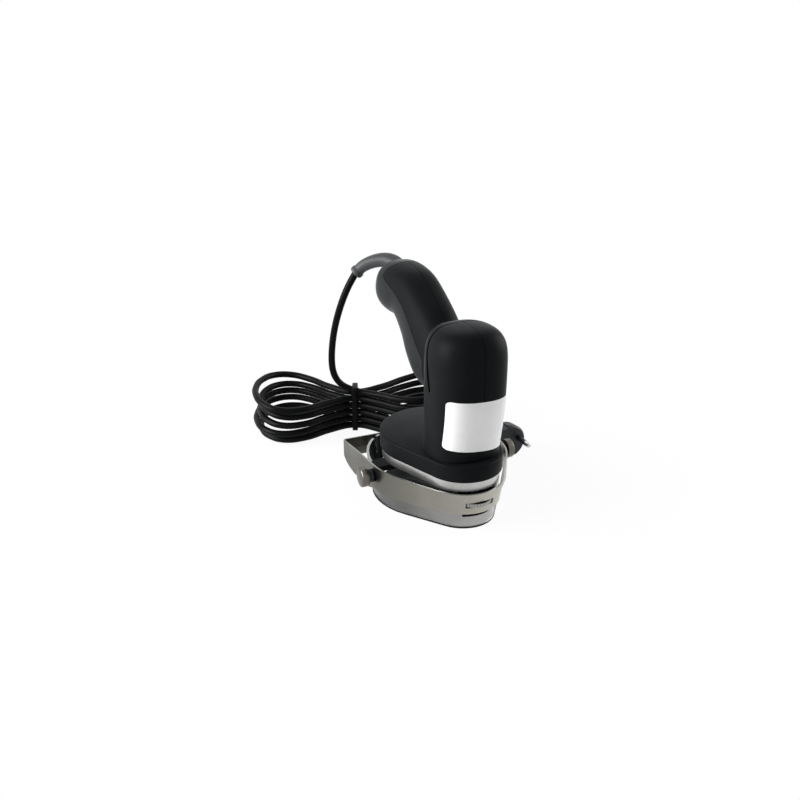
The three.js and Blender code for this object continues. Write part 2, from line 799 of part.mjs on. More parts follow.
// Gear housing and head cover
const innerNose = housingNose - housingWall;
const innerWide = housingWide - housingWall;
const housing = cut(
  join(
    headPlate(housingNose, housingWide, housingBottom, housingTop),
    rod(bossRadius, bossBottom, housingBottom + 1, axisDistance),
  ),
  headPlate(innerNose, innerWide, housingBottom + housingWall, housingTop + 1),
  rod(spindleRadius + 1, bossBottom - 1, housingBottom + housingWall + 1, axisDistance),
  rod(bearingLowerRadius + shaftGap, bossBottom - 1, bossBottom + 0.9 + bearingLowerHeight, axisDistance),
);
const coverRings = [
  [coverBottom, 0],
  [coverTop - coverEdge, 0],
  [coverTop - coverEdge / 3, coverEdge / 3],
  [coverTop, coverEdge],
].map(([z, inset]) => atLevel(headOutline(coverNose - inset, coverWide - inset), z));
const coverBossBottom = gearTop + 1;
const coverBoss = cut(
  rod(bearingUpperRadius + bearingRim, coverBossBottom, spindleEnd + 1, axisDistance),
  rod(bearingUpperRadius + shaftGap, coverBossBottom - 1, spindleEnd, axisDistance),
);
const headCover = cut(
  join(cut(loft(coverRings), headPlate(innerNose, innerWide, coverBottom - 1, coverTop - coverRoof)), coverBoss),
  rod(motorShaft + 1.2, coverBottom, coverTop + 1),
);

// Blade shroud
const topReach = shroudFront + 4;
const flareAt = (z) => (shroudFlare * z) / shroudSide;
const leanAt = (z) => (frontLean * z) / shroudSide;
const shroudOutline = (inset, z) =>
  headOutline(shroudNose - inset, shroudWide + flareAt(z) - inset, axisDistance + leanAt(z));
const shroudForm = (inset, z0, z1) => loft([z0, z1].map((z) => atLevel(shroudOutline(inset, z), z)));
const noseTop = housingBottom - seatGap;
const rimSlope = (shroudFront - shroudSide) / (axisDistance + shroudWide * Math.cos(mouthAngle) - pivotX);
const rimLine = [
  [-60, noseTop],
  [floorReach, noseTop],
  [floorReach + 10, shroudSide],
  [pivotX, shroudSide],
  [pivotX + 80, shroudSide + 80 * rimSlope],
  [pivotX + 80, topReach + 20],
  [-60, topReach + 20],
];
const mouth = plate(
  [
    [axisDistance, 0],
    [axisDistance + 120 * Math.cos(mouthAngle), -120 * Math.sin(mouthAngle)],
    [axisDistance + 120, 0],
    [axisDistance + 120 * Math.cos(mouthAngle), 120 * Math.sin(mouthAngle)],
  ],
  -1,
  topReach + 10,
);
const shroudAtPivot = shroudWide + flareAt(pivotZ);
const armInner = guardWide - guardWall;
const lugOuter = shroudWide + flareAt(noseTop - lugHeight) - shroudWall / 2;
const lug = (side) =>
  box(
    axisDistance - lugLength / 2,
    axisDistance + lugLength / 2,
    Math.min(side * lugOuter, side * (lugOuter - lugWidth)),
    Math.max(side * lugOuter, side * (lugOuter - lugWidth)),
    noseTop - lugHeight,
    noseTop,
  );
const bossReach = Math.sqrt(armInner ** 2 - (axisDistance - pivotX + pivotBoss) ** 2) - seatGap;
const pivotBosses = [1, -1].map((side) => {
  const ends = [side * (shroudAtPivot - shroudWall), side * bossReach].sort((a, b) => a - b);
  return crossRod(pivotBoss, ends[0], ends[1], pivotX, pivotZ);
});
const windowHalf = wheelRadius + wheelPlay;
const windowBottom = slotLevel - slotHeight / 2 - wheelPlay * 2;
const shroudShell = cut(
  shroudForm(0, 0, topReach),
  shroudForm(shroudWall, shroudFloor, topReach + 1),
  common(shroudForm(shroudWall, -1, shroudFloor + 1), box(floorReach, 200, -90, 90, -2, 10)),
  sidePlate(rimLine, -90, 90),
  mouth,
);
const hem = cut(
  shroudForm(-hemReach, 0, hemHeight),
  shroudForm(shroudWall / 2, -1, hemHeight + 1),
  mouth,
);
const shroud = cut(
  join(shroudShell, hem, lug(1), lug(-1), ...pivotBosses),
  box(-60, -wheelPlay * 6, -windowHalf, windowHalf, windowBottom, topReach),
  box(-60, -shroudNose / 2, -slitWidth / 2, slitWidth / 2, slitLevel - slitHeight / 2, slitLevel + slitHeight / 2),
  crossRod(shankRadius + seatGap, -90, 90, pivotX, pivotZ),
);

// Guard frame

// The strip's outline at a level: nose arc, tangents, wide arcs, straight arms and front plate.
function guardOutline(inset, z) {
  const nose = noseAt(z) - inset;
  const wide = guardWide - inset;
  const front = guardFront - inset;
  const corner = guardCorner - inset;
  const turn = Math.acos((noseAt(z) - guardWide) / axisDistance);
  return [
    ...arc(front - corner, wide + guardSpread - corner, corner, 0, Math.PI / 2, 5),
    ...arc(axisDistance, 0, wide, Math.PI / 2, turn, 8),
    ...arc(0, 0, nose, turn, 2 * Math.PI - turn, 16),
    ...arc(axisDistance, 0, wide, -turn, -Math.PI / 2, 8),
    ...arc(front - corner, corner - wide - guardSpread, corner, -Math.PI / 2, 0, 5),
  ];
}

const guardProfile = [
  [-guardNose - 5, guardBottom],
  [armStep, guardBottom],
  [armStepEnd, armBottom],
  [armToe, armBottom],
  [armToe + 10, armBottom + 1.8],
  [armToe + 16, armBottom + 4.2],
  [armToe + 20, armBottom + 7],
  [guardFront - 0.5, gaugeBottom],
  [guardFront + 2, gaugeBottom + 8],
  [guardFront + 2, guardFrontTop],
  [armToe - 8, guardTop + guardHump / 2],
  [axisDistance, guardTop + 0.9 * guardHump],
  [axisDistance / 2, guardTop + guardHump],
  [-4, guardTop + guardHump / 3],
  [-guardNose, guardTop],
  [-guardNose - 5, guardTop],
];
const lipFar = guardFront - lipDepth;
const gaugeLip = sidePlate(
  [
    [guardFront - guardWall, gaugeBottom + 1.5],
    [lipFar - guardWall, lipBottom + 0.7],
    [lipFar, lipBottom],
    [guardFront, gaugeBottom],
    [guardFront, gaugeBottom + 1.5],
  ],
  -lipHalf,
  lipHalf,
);
const ringForm = (inset, z0, z1) => loft([z0, z1].map((z) => atLevel(guardOutline(inset, z), z)));
const guardRing = cut(ringForm(0, 0, guardTop + 5), ringForm(guardWall, -1, guardTop + 6));
const guardFrame = cut(
  join(common(guardRing, sidePlate(guardProfile, -90, 90)), gaugeLip),
  box(
    -guardNose - 5,
    -guardNose / 2,
    -slotWidth / 2,
    slotWidth / 2,
    slotLevel - slotHeight / 2,
    slotLevel + slotHeight / 2,
  ),
  crossRod(shankRadius + seatGap, -90, 90, pivotX, pivotZ),
);

// A pivot knob about its own axis: shank, collar, neck and head, from the frame outwards.
const shankIn = armInner - shroudAtPivot + shroudWall + guardWall;
const collarEnd = seatGap + collarLength;
const neckEnd = collarEnd + neckLength;
const headEnd = neckEnd + knobLength;
const pivotKnob = turned([
  [0, -shankIn],
  [shankRadius, -shankIn],
  [shankRadius, seatGap],
  [collarRadius, seatGap],
  [collarRadius, collarEnd],
  [neckRadius, collarEnd],
  [neckRadius, neckEnd],
  [knobRadius, neckEnd],
  [knobRadius, headEnd - 0.7],
  [knobRadius - 0.7, headEnd],
  [0, headEnd],
]);
const knobOn = (side) => pivotKnob.rotate([-90 * side, 0, 0]).translate([pivotX, side * guardWide, pivotZ]);

// Thumb wheel with a notched rim, loose on its fixed stud
const wheelOutline = Array.from({ length: wheelTeeth * 4 }, (_, i) => {
  const radius = i % 4 < 2 ? wheelRadius : wheelRadius - wheelNotch;
  const angle = (2 * Math.PI * i) / (wheelTeeth * 4);
  return [radius * Math.cos(angle), radius * Math.sin(angle)];
});
const wheelBottom = slotLevel - wheelHeight / 2;
const thumbWheel = cut(
  plate(wheelOutline, wheelBottom, wheelBottom + wheelHeight),
  rod(studRadius + wheelPlay, 0, 60),
).translate([wheelX, 0, 0]);
const stud = rod(studRadius, shroudFloor + seatGap, housingBottom - seatGap, wheelX);

// Cord hank

const axisWay = new THREE.Vector3(Math.cos(hankTurn), Math.sin(hankTurn), 0);
const farWay = new THREE.Vector3(Math.sin(hankTurn), -Math.cos(hankTurn), 0);
const cordLevel = cordRadius + 0.3;
const endTurn = hankSteps / turnSteps;

// The hank's centre line at a count of turns, winding down from the top loop to the floor.
function hankPoint(turns) {
  const phase = 2 * Math.PI * turns;
  const side = Math.sin(phase) ** 2;
  const left = Math.sin(phase) < 0;
  const half = (left ? leftHalf : rightHalf) + halfSway * Math.sin(2.3 * turns);
  const reach = (left ? leftReach : rightReach) + reachSway * Math.sin(1.9 * turns + 0.6);
  const bulge = (half - 0.707 * waistHalf) / 0.3535;
  const along = -reach * Math.sin(phase);
  const across = -Math.cos(phase) * (waistHalf + (bulge * side) / (side + lobeRound));
  const lean = (left ? leftBow : rightBow) * (along / bowReach) ** 2;
  const rise = (endTurn - turns) * (layerPitch + lobeSpread * side) + waistLift * Math.cos(phase) ** 8;
  const point = new THREE.Vector3(hankX, hankY, cordLevel + rise);
  return point.addScaledVector(axisWay, along).addScaledVector(farWay, across + lean);
}

const hankWay = (from, to) => hankPoint(to).sub(hankPoint(from)).normalize();
const hankLine = Array.from({ length: hankSteps + 1 }, (_, i) => hankPoint(Math.max(startTurn, i / turnSteps)));

// The least distance between two stretches of the hank, less the cord's own thickness
function hankClearance() {
  const fine = Array.from({ length: hankSteps * 4 + 1 }, (_, i) => hankPoint(startTurn + i / (turnSteps * 4)));
  let least = Infinity;
  for (let i = 0; i < fine.length; i++) {
    for (let j = i + 40; j < fine.length; j++) least = Math.min(least, fine[i].distanceTo(fine[j]));
  }
  return least - 2 * cordRadius;
}

// A cord of six sides through a list of points, its section kept upright.
function cordTube(points, sides) {
  const last = points.length - 1;
  const rings = points.map((centre, i) => {
    const heading = points[Math.min(i + 1, last)].clone().sub(points[Math.max(i - 1, 0)]).normalize();
    const across = new THREE.Vector3(0, 0, 1).cross(heading).normalize();
    const up = heading.clone().cross(across);
    return Array.from({ length: sides }, (_, k) => {
      const angle = (2 * Math.PI * (k + 0.5)) / sides;
      const p = centre.clone().addScaledVector(across, cordRadius * Math.cos(angle));
      return p.addScaledVector(up, cordRadius * Math.sin(angle));
    });
  });
  return loft(rings);
}

const cordHank = cordTube(hankLine, 6);
console.log("least gap between the hank's turns, mm: " + hankClearance().toFixed(2));

// The tie round the hank's waist
const tieHalf = waistHalf + cordRadius + tieSlack;
const waistBottom = cordLevel + waistLift - cordRadius - seatGap;
const waistTop = hankLine[0].z + cordRadius + 2 * seatGap;
const roundRect = (x0, x1, y0, y1, corner) => [
  ...arc(x1 - corner, y1 - corner, corner, 0, Math.PI / 2, 4),
  ...arc(x0 + corner, y1 - corner, corner, Math.PI / 2, Math.PI, 4),
  ...arc(x0 + corner, y0 + corner, corner, Math.PI, 1.5 * Math.PI, 4),
  ...arc(x1 - corner, y0 + corner, corner, 1.5 * Math.PI, 2 * Math.PI, 4),
];
const tieTurn = new THREE.Matrix4().makeBasis(farWay, new THREE.Vector3(0, 0, 1), axisWay.clone().negate());
const tieShape = plate(
  roundRect(-tieHalf - tieThick, tieHalf + tieThick, waistBottom - tieThick, waistTop + tieThick, 4),
  -tieWidth / 2,
  tieWidth / 2,
  roundRect(-tieHalf, tieHalf, waistBottom, waistTop, 3),
);
const tieGeometry = surface(tieShape).applyMatrix4(tieTurn).translate(hankX, hankY, 0);
const cordTie = solid(tieGeometry);

// Free stretches of cord

const straightOn = (from, way, length) => from.clone().addScaledVector(way, length);
const hankStart = hankLine[0];
const hankStartWay = hankWay(startTurn, startTurn + 0.002);
const hankEnd = hankLine[hankLine.length - 1];
const hankEndWay = hankWay(endTurn - 0.002, endTurn);
const bootTip = bootRoute.getPointAt(1);
const bootWay = bootRoute.getTangentAt(1);

// From the strain relief down to the first loop
const leadPoints = [
  straightOn(bootTip, bootWay, seatGap),
  straightOn(bootTip, bootWay, 2 * cordRadius + seatGap),
  new THREE.Vector3(167.2, 37.8, 141.1),
  new THREE.Vector3(177.4, 41.5, 117.8),
  new THREE.Vector3(185.5, 42.8, 94.3),
  new THREE.Vector3(188.5, 43.2, 79),
  new THREE.Vector3(190.6, 42.6, 65.5),
  new THREE.Vector3(193, 40.6, 54.8),
  new THREE.Vector3(194.2, 35.6, 47),
  straightOn(hankStart, hankStartWay, -3 * cordRadius - jointGap),
  straightOn(hankStart, hankStartWay, -jointGap),
];

// From the last loop along the floor to the plug
const plugBack = plugX + plugLength;
const plugLevel = plugRadius + 0.6;
const tailPoints = [
  straightOn(hankEnd, hankEndWay, jointGap),
  straightOn(hankEnd, hankEndWay, 2 * cordRadius + jointGap),
  new THREE.Vector3(149.5, -10.3, 3.7),
  new THREE.Vector3(141.5, -19.5, 3.5),
  new THREE.Vector3(137.5, -31.5, 3.5),
  new THREE.Vector3(137, -45, 3.5),
  new THREE.Vector3(138, -58, 3.9),
  new THREE.Vector3(136, -69.5, 6.6),
  new THREE.Vector3(131, -78.6, 10.6),
  new THREE.Vector3(123.5, -84.2, 14.8),
  new THREE.Vector3(plugBack + 3 * cordRadius + seatGap, plugY, plugLevel),
  new THREE.Vector3(plugBack + seatGap, plugY, plugLevel),
];
const cordSection = new THREE.Shape(
  arc(0, 0, cordRadius, 0, 1.8 * Math.PI, 9).map(([x, y]) => new THREE.Vector2(x, y)),
);
const stretch = (points, steps) => {
  const extrudePath = new THREE.CatmullRomCurve3(points, false, "centripetal");
  return solid(new THREE.ExtrudeGeometry(cordSection, { steps, extrudePath, bevelEnabled: false }));
};
const cordLead = stretch(leadPoints, 30);
const cordTail = stretch(tailPoints, 20);

// Plug: a moulded body lying on its side, with two round pins
const pinAt = (side) => {
  const offset = (side * pinSpacing) / 2;
  return [offset * Math.cos(plugTilt), offset * Math.sin(plugTilt)];
};
const lieDown = (body) => body.rotate([0, 90, 0]).translate([plugX, plugY, plugLevel]);
const plugTurned = lieDown(
  turned([
    [0, 0],
    [plugRadius - 1.5, 0],
    [plugRadius, 1.5],
    [plugRadius - 0.8, 12],
    [plugRadius - 4, 17],
    [11, 23],
    [8, 30],
    [cordRadius + 2.2, plugLength],
    [0, plugLength],
  ]),
);
const notch = (side) =>
  box(plugX - 1, plugX + 13, plugY - 3, plugY + 3, -2.4, 2.4)
    .translate([0, -plugY, side * (plugRadius + 0.6)])
    .rotate([(plugTilt * 180) / Math.PI, 0, 0])
    .translate([0, plugY, plugLevel]);
const pinHole = (side) => {
  const [dy, dz] = pinAt(side);
  return rod(pinRadius + seatGap, -1, pinSeat + seatGap).rotate([0, 90, 0]).translate([plugX, plugY + dy, plugLevel + dz]);
};
const plugBody = cut(plugTurned, notch(1), notch(-1), pinHole(1), pinHole(-1));
const plugPin = (side) => {
  const [dy, dz] = pinAt(side);
  const pin = turned([
    [0, -pinLength],
    [pinRadius - 0.8, -pinLength],
    [pinRadius, 1 - pinLength],
    [pinRadius, pinSeat],
    [0, pinSeat],
  ]);
  return pin.rotate([0, 90, 0]).translate([plugX, plugY + dy, plugLevel + dz]);
};

// Assembly

const slicer = new THREE.Group();
const upperBody = new THREE.Group();
const motor = new THREE.Group();
upperBody.position.z = columnBottom;
motor.position.z = motorBase;
slicer.add(upperBody, motor);

function add(group, name, body, material) {
  const mesh = new THREE.Mesh(surface(body), material);
  mesh.name = name;
  group.add(mesh);
}

add(upperBody, "housing_left", housingLeft, blackPlastic);
add(upperBody, "housing_right", housingRight, blackPlastic);
add(upperBody, "grip_cover", coverSkin, gripRubber);
add(upperBody, "trigger", triggerBody, blackPlastic);
add(upperBody, "switch_body", switchBody, magnetGrey);

add(motor, "motor_can", motorCan, canSteel);
add(motor, "motor_end_cap", endCap, blackPlastic);
add(motor, "motor_shaft", shaftRod, gearSteel);
add(motor, "armature", armature, copper);
add(motor, "commutator", commutator, copper);
add(motor, "cooling_fan", fan, magnetGrey);
add(motor, "motor_bearing_lower", bearingRing(0, motorPlate - 1 - seatGap), gearSteel);
add(motor, "motor_bearing_upper", bearingRing(capBottom + 1 + seatGap, capBottom + motorPlate), gearSteel);
[1, -1].forEach((side, i) => {
  const turn = (side * Math.PI) / 2;
  const magnet = plate(magnetOutline(turn), motorPlate + seatGap, armatureTop);
  add(motor, "magnet_" + (i + 1), magnet, magnetGrey);
  add(motor, "brush_" + (i + 1), brush(side), carbon);
});

add(slicer, "pinion", pinion, gearSteel);
add(slicer, "drive_gear", driveGear, gearNylon);
add(slicer, "blade", blade, bladeSteel);
add(slicer, "blade_spindle", spindle, turnedSteel);
add(slicer, "blade_nut", nut, turnedSteel);
add(slicer, "spindle_bearing_lower", lowerBearing, gearSteel);
add(slicer, "spindle_bearing_upper", upperBearing, gearSteel);
add(slicer, "gear_housing", housing, castAluminium);
add(slicer, "head_cover", headCover, blackPlastic);
add(slicer, "blade_shroud", shroud, castAluminium);
add(slicer, "guard_frame", guardFrame, stainless);
add(slicer, "pivot_knob_left", knobOn(1), turnedSteel);
add(slicer, "pivot_knob_right", knobOn(-1), turnedSteel);
add(slicer, "thumb_wheel", thumbWheel, turnedSteel);
add(slicer, "wheel_stud", stud, turnedSteel);

add(slicer, "strain_relief", strainRelief, cordBlack);
add(slicer, "cord_lead", cordLead, cordBlack);
add(slicer, "cord_hank", cordHank, cordBlack);
add(slicer, "cord_tie", cordTie, plugBlack);
add(slicer, "cord_tail", cordTail, cordBlack);
add(slicer, "plug_body", plugBody, plugBlack);
add(slicer, "plug_pin_1", plugPin(1), nickel);
add(slicer, "plug_pin_2", plugPin(-1), nickel);

export default slicer;
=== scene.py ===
# %% [markdown]
# # An electric kebab slicer, dressed for its picture
# The machine is a moulded column and pistol grip over a round blade, with a steel strip that sets the slice
# and a long black mains lead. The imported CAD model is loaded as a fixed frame, and every new piece is
# modelled where the CAD says that it is. CAD sizes are millimetres, Blender works in metres, so one factor
# is named here and used everywhere.

# %% Load the frame
import json
from math import acos, copysign, cos, pi, radians, sin, sqrt

import bmesh
import bpy
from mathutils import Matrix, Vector

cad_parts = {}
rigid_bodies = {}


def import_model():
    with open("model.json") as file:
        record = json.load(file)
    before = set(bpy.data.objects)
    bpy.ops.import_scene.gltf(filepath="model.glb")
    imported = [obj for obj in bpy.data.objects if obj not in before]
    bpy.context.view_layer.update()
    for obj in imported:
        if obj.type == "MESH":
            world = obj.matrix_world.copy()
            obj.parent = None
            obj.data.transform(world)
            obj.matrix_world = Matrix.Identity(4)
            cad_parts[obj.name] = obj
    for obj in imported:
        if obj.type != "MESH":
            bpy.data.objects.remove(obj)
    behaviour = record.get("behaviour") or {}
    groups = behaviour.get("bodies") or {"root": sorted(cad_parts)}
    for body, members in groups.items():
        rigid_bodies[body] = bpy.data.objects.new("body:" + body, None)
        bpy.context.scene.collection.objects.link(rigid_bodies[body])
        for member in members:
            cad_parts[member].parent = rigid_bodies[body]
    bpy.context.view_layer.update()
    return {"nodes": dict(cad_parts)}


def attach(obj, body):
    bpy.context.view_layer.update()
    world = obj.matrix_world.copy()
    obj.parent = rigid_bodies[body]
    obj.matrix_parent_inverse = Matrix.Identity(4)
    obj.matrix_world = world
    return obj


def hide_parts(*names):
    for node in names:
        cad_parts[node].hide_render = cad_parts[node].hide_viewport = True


MM = 0.001
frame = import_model()
nodes = frame["nodes"]
scene = bpy.context.scene
scene.view_settings.view_transform = "Standard"

# %% [markdown]
# ## Camera
# A camera is matched to a photograph by its place, its direction and its lens. This one stands half a metre
# in front of the rounded nose, to the left of it and above it, and looks down by 22 degrees. A square
# picture with a 36 mm sensor makes the lens length easy to read: it is the picture's focal length in pixels
# times 36 / 800.

# %% Camera
camera_data = bpy.data.cameras.new("camera")
camera_data.sensor_width = 36
camera_data.lens = 37.44
camera_data.clip_start = 0.01
camera = bpy.data.objects.new("camera", camera_data)
camera.location = (-0.5270, 0.2897, 0.3452)
camera_way = Vector((0.8448, -0.3766, -0.3801))
camera.rotation_euler = camera_way.to_track_quat("-Z", "Y").to_euler()
scene.collection.objects.link(camera)
scene.camera = camera
print("camera", [round(x, 3) for x in camera.location], "lens", camera_data.lens)

# %% [markdown]
# ## Smooth lines
# The cable and the moulded skins both follow smooth lines through a few points, which are easier to choose
# and to change than many. One helper gives rows of numbers between given rows. The other gives points at
# even steps along a rounded route, and its knots are set by distance, so that short spans don't overshoot.

# %% Smooth rows


def row_between(rows, index, share):
    """A row of numbers on a smooth line through the rows, a share of the way after one of them."""
    last = len(rows) - 1
    before = rows[max(index - 1, 0)]
    start = rows[index]
    end = rows[min(index + 1, last)]
    after = rows[min(index + 2, last)]
    square = share * share
    cube = square * share
    found = []
    for a, b, c, d in zip(before, start, end, after):
        slope_in = (c - a) / 2
        slope_out = (d - b) / 2
        value = (2 * cube - 3 * square + 1) * b + (cube - 2 * square + share) * slope_in
        found.append(value + (3 * square - 2 * cube) * c + (cube - square) * slope_out)
    return found


def smooth_rows(rows, steps):
    """All the rows, with a number of steps on a smooth line between each two of them."""
    found = []
    for index in range(len(rows) - 1):
        found += [row_between(rows, index, step / steps) for step in range(steps)]
    return found + [list(rows[-1])]


print("a smooth line through 3 rows in 2 steps:", smooth_rows([(0,), (1,), (4,)], 2))

# %% Even points on a route
span_steps = 24


def weighted(first, second, start, end, knot):
    """The point that divides the way between two others as a knot divides its span."""
    span = end - start
    return first * ((end - knot) / span) + second * ((knot - start) / span)


def rounded(points):
    """Many points on a rounded line through the given ones."""
    knots = [0.0]
    for a, b in zip(points, points[1:]):
        knots.append(knots[-1] + (b - a).length ** 0.5)
    knots = [knots[0] - (knots[1] - knots[0]), *knots, knots[-1] + (knots[-1] - knots[-2])]
    line = [points[0] * 2 - points[1], *points, points[-1] * 2 - points[-2]]
    found = []
    for index in range(len(points) - 1):
        near = line[index : index + 4]
        marks = knots[index : index + 4]
        for step in range(span_steps):
            knot = marks[1] + (marks[2] - marks[1]) * step / span_steps
            once = [weighted(near[i], near[i + 1], marks[i], marks[i + 1], knot) for i in range(3)]
            twice = [weighted(once[i], once[i + 1], marks[i], marks[i + 2], knot) for i in range(2)]
            found.append(weighted(*twice, marks[1], marks[2], knot))
    return found + [points[-1]]


def along_route(points, count):
    """Points spaced evenly on a rounded line through the given ones."""
    dense = rounded(points)
    lengths = [0.0]
    for a, b in zip(dense, dense[1:]):
        lengths.append(lengths[-1] + (b - a).length)
    found = []
    place = 0
    for step in range(count + 1):
        target = lengths[-1] * step / count
        while place < len(dense) - 2 and lengths[place + 1] < target:
            place += 1
        share = (target - lengths[place]) / max(lengths[place + 1] - lengths[place], 1e-9)
        found.append(dense[place].lerp(dense[place + 1], min(share, 1)))
    return found


bend = [Vector((0, 0, 0)), Vector((1, 0, 0)), Vector((1, 1, 0))]
print("middle of a rounded bend:", along_route(bend, 2)[1])

# %% [markdown]
# ## Route of the mains lead
# A real lead is one length of cable, so it is one curve here: out of the rubber boot, down to the top of a
# tied hank, round its five loops, and along the floor to the plug. The loops come from a formula and not
# from points set by hand. Each turn is a figure of two lobes and a narrow waist and lies on the next one, so
# the stack winds down to the floor, and no two turns are quite alike.

# %% Loops of the hank
cord_radius = 3.25
hank_centre = Vector((190, 19, 0))
hank_turn = radians(66)
hank_axis = Vector((cos(hank_turn), sin(hank_turn), 0))
hank_far = Vector((sin(hank_turn), -cos(hank_turn), 0))
turn_steps = 24
hank_steps = 121
start_turn = 0.008
end_turn = hank_steps / turn_steps
waist_half = 3.75
left_half = 43
right_half = 36
half_sway = 2.5
half_rate = 2.3
left_reach = 95.5
right_reach = 95
reach_sway = 3
reach_rate = 1.9
reach_start = 0.6
left_bow = 5
right_bow = 14
bow_reach = 94
lowest_turn = 3.55
layer_pitch = 7.15
lobe_spread = 1.9
waist_lift = 1.95
pair_shift = 0.28
left_pairs = 0.29
right_pairs = 0.79


def hank_point(turns):
    """The middle of the cord after a count of turns, in millimetres."""
    phase = 2 * pi * turns
    side = sin(phase) ** 2
    left = sin(phase) < 0
    half = (left_half if left else right_half) + half_sway * sin(half_rate * turns)
    reach = (left_reach if left else right_reach) + reach_sway * sin(reach_rate * turns + reach_start)
    # A lobe has its full half width an eighth of a turn past the waist, where sine and cosine are 0.707.
    bulge = (half - 0.707 * waist_half) / 0.3535
    along = -reach * sin(phase)
    across = -cos(phase) * (waist_half + bulge * side / (side + 0.5))
    lean = (left_bow if left else right_bow) * (along / bow_reach) ** 2
    layer = end_turn - turns
    # In the lobes, every second gap between two turns is a little smaller.
    pairing = pair_shift * cos(pi * (layer - (left_pairs if left else right_pairs)))
    rise = layer * layer_pitch + lobe_spread * side * (layer + pairing) + waist_lift * cos(phase) ** 8
    level = Vector((0, 0, lowest_turn + rise))
    return hank_centre + hank_axis * along + hank_far * (across + lean) + level


hank_line = [hank_point(max(start_turn, step / turn_steps)) for step in range(hank_steps + 1)]
small_turn = 0.002
start_way = (hank_point(start_turn + small_turn) - hank_point(start_turn)).normalized()
end_way = (hank_point(end_turn) - hank_point(end_turn - small_turn)).normalized()
print("points on the hank:", len(hank_line))

# %% [markdown]
# The lead and the tail lie as they fell, so their points are listed one by one. Where they meet the boot, the
# hank and the plug, a point is set straight on, so that the cable has no kink there, and the rest of the line
# is eased by moving each point to the mean of itself and its neighbours.

# %% Lead and tail
boot_gap = 0.3
boot_run = 6.8
hank_run_in = 10.65
hank_run_out = 7.4


def eased(points, passes):
    """The same line with its kinks eased in a number of passes."""
    line = list(points)
    for _ in range(passes):
        inner = [(a + b * 2 + c) / 4 for a, b, c in zip(line, line[1:], line[2:])]
        line = [line[0], *inner, line[-1]]
    return line


boot_points = [
    Vector((124, 0, 175.5)),
    Vector((131, 0.8, 179)),
    Vector((138.8, 5.2, 180.8)),
    Vector((147.4, 13, 179)),
    Vector((154.8, 21.4, 173.8)),
    Vector((159.2, 27.2, 167)),
]
boot_line = along_route(boot_points, count=60)
boot_tip = boot_line[-1]
boot_way = (boot_line[-1] - boot_line[-2]).normalized()
lead_points = [
    boot_tip + boot_way * boot_gap,
    boot_tip + boot_way * boot_run,
    Vector((167.2, 37.8, 141.1)),
    Vector((177.4, 41.5, 117.8)),
    Vector((185.5, 42.8, 94.3)),
    Vector((188.5, 43.2, 79)),
    Vector((190.6, 42.6, 65.5)),
    Vector((193, 40.6, 54.8)),
    Vector((194.2, 35.6, 47)),
    hank_line[0] - start_way * hank_run_in,
    hank_line[0],
]
tail_points = [
    hank_line[-1],
    hank_line[-1] + end_way * hank_run_out,
    Vector((149.5, -10.3, 3.7)),
    Vector((141.5, -19.5, 3.5)),
    Vector((137.5, -31.5, 3.5)),
    Vector((137, -45, 3.5)),
    Vector((138, -58, 3.9)),
    Vector((136, -69.5, 6.6)),
    Vector((131, -78.6, 10.6)),
    Vector((123.5, -84.2, 14.8)),
    Vector((115.05, -86, 17.2)),
    Vector((105.3, -86, 17.2)),
]
lead_line = eased(along_route(lead_points, count=36), passes=24)
tail_line = eased(along_route(tail_points, count=24), passes=3)
cord_line = [point * MM for point in lead_line[:-1] + hank_line + tail_line[1:]]
print("points on the lead and tail:", len(lead_line), len(tail_line))

# %% [markdown]
# A Bezier curve with a round bevel makes a cable of an even thickness, and its automatic handles keep it
# smooth from knot to knot. It stays a curve, so its length can be measured.

# %% Mains lead
cord_data = bpy.data.curves.new("mains_lead", "CURVE")
cord_data.dimensions = "3D"
cord_data.resolution_u = 5
cord_data.bevel_depth = cord_radius * MM
cord_data.bevel_resolution = 4
cord_data.use_fill_caps = True
spline = cord_data.splines.new("BEZIER")
spline.bezier_points.add(len(cord_line) - 1)
for knot, place in zip(spline.bezier_points, cord_line):
    knot.co = place
    knot.handle_left_type = "AUTO"
    knot.handle_right_type = "AUTO"
mains_lead = bpy.data.objects.new("mains_lead", cord_data)
scene.collection.objects.link(mains_lead)

# %% [markdown]
# ## Light and floor
# The picture has a plain white ground. The world is white where the camera, a reflection or a clear surface
# sees it, and lights the rest only a third as much, so the black plastic keeps its depth. A large soft lamp
# stands on the left, a weaker one on the right, and a faint one behind draws the top edges.

# %% World
seen_by = ("Is Camera Ray", "Is Glossy Ray", "Is Transmission Ray")


def seen_mask(tree):
    """A value of 1 where the camera, a reflection or a clear surface looks, and 0 elsewhere."""
    path = tree.nodes.new("ShaderNodeLightPath")
    total = path.outputs[seen_by[0]]
    for name in seen_by[1:]:
        highest = tree.nodes.new("ShaderNodeMath")
        highest.operation = "MAXIMUM"
        tree.links.new(total, highest.inputs[0])
        tree.links.new(path.outputs[name], highest.inputs[1])
        total = highest.outputs[0]
    return total


world = bpy.data.worlds.new("studio")
scene.world = world
world.use_nodes = True
tree = world.node_tree
tree.nodes.clear()
ground = tree.nodes.new("ShaderNodeBackground")
ground.inputs["Color"].default_value = (1, 1, 1, 1)
ambient = tree.nodes.new("ShaderNodeBackground")
ambient.inputs["Color"].default_value = (0.98, 0.99, 1, 1)
ambient.inputs["Strength"].default_value = 0.34
mix = tree.nodes.new("ShaderNodeMixShader")
tree.links.new(seen_mask(tree), mix.inputs[0])
tree.links.new(ambient.outputs[0], mix.inputs[1])
tree.links.new(ground.outputs[0], mix.inputs[2])
world_out = tree.nodes.new("ShaderNodeOutputWorld")
tree.links.new(mix.outputs[0], world_out.inputs["Surface"])
print("world:", world.name, "with", len(tree.nodes), "nodes")

# %% Lamps


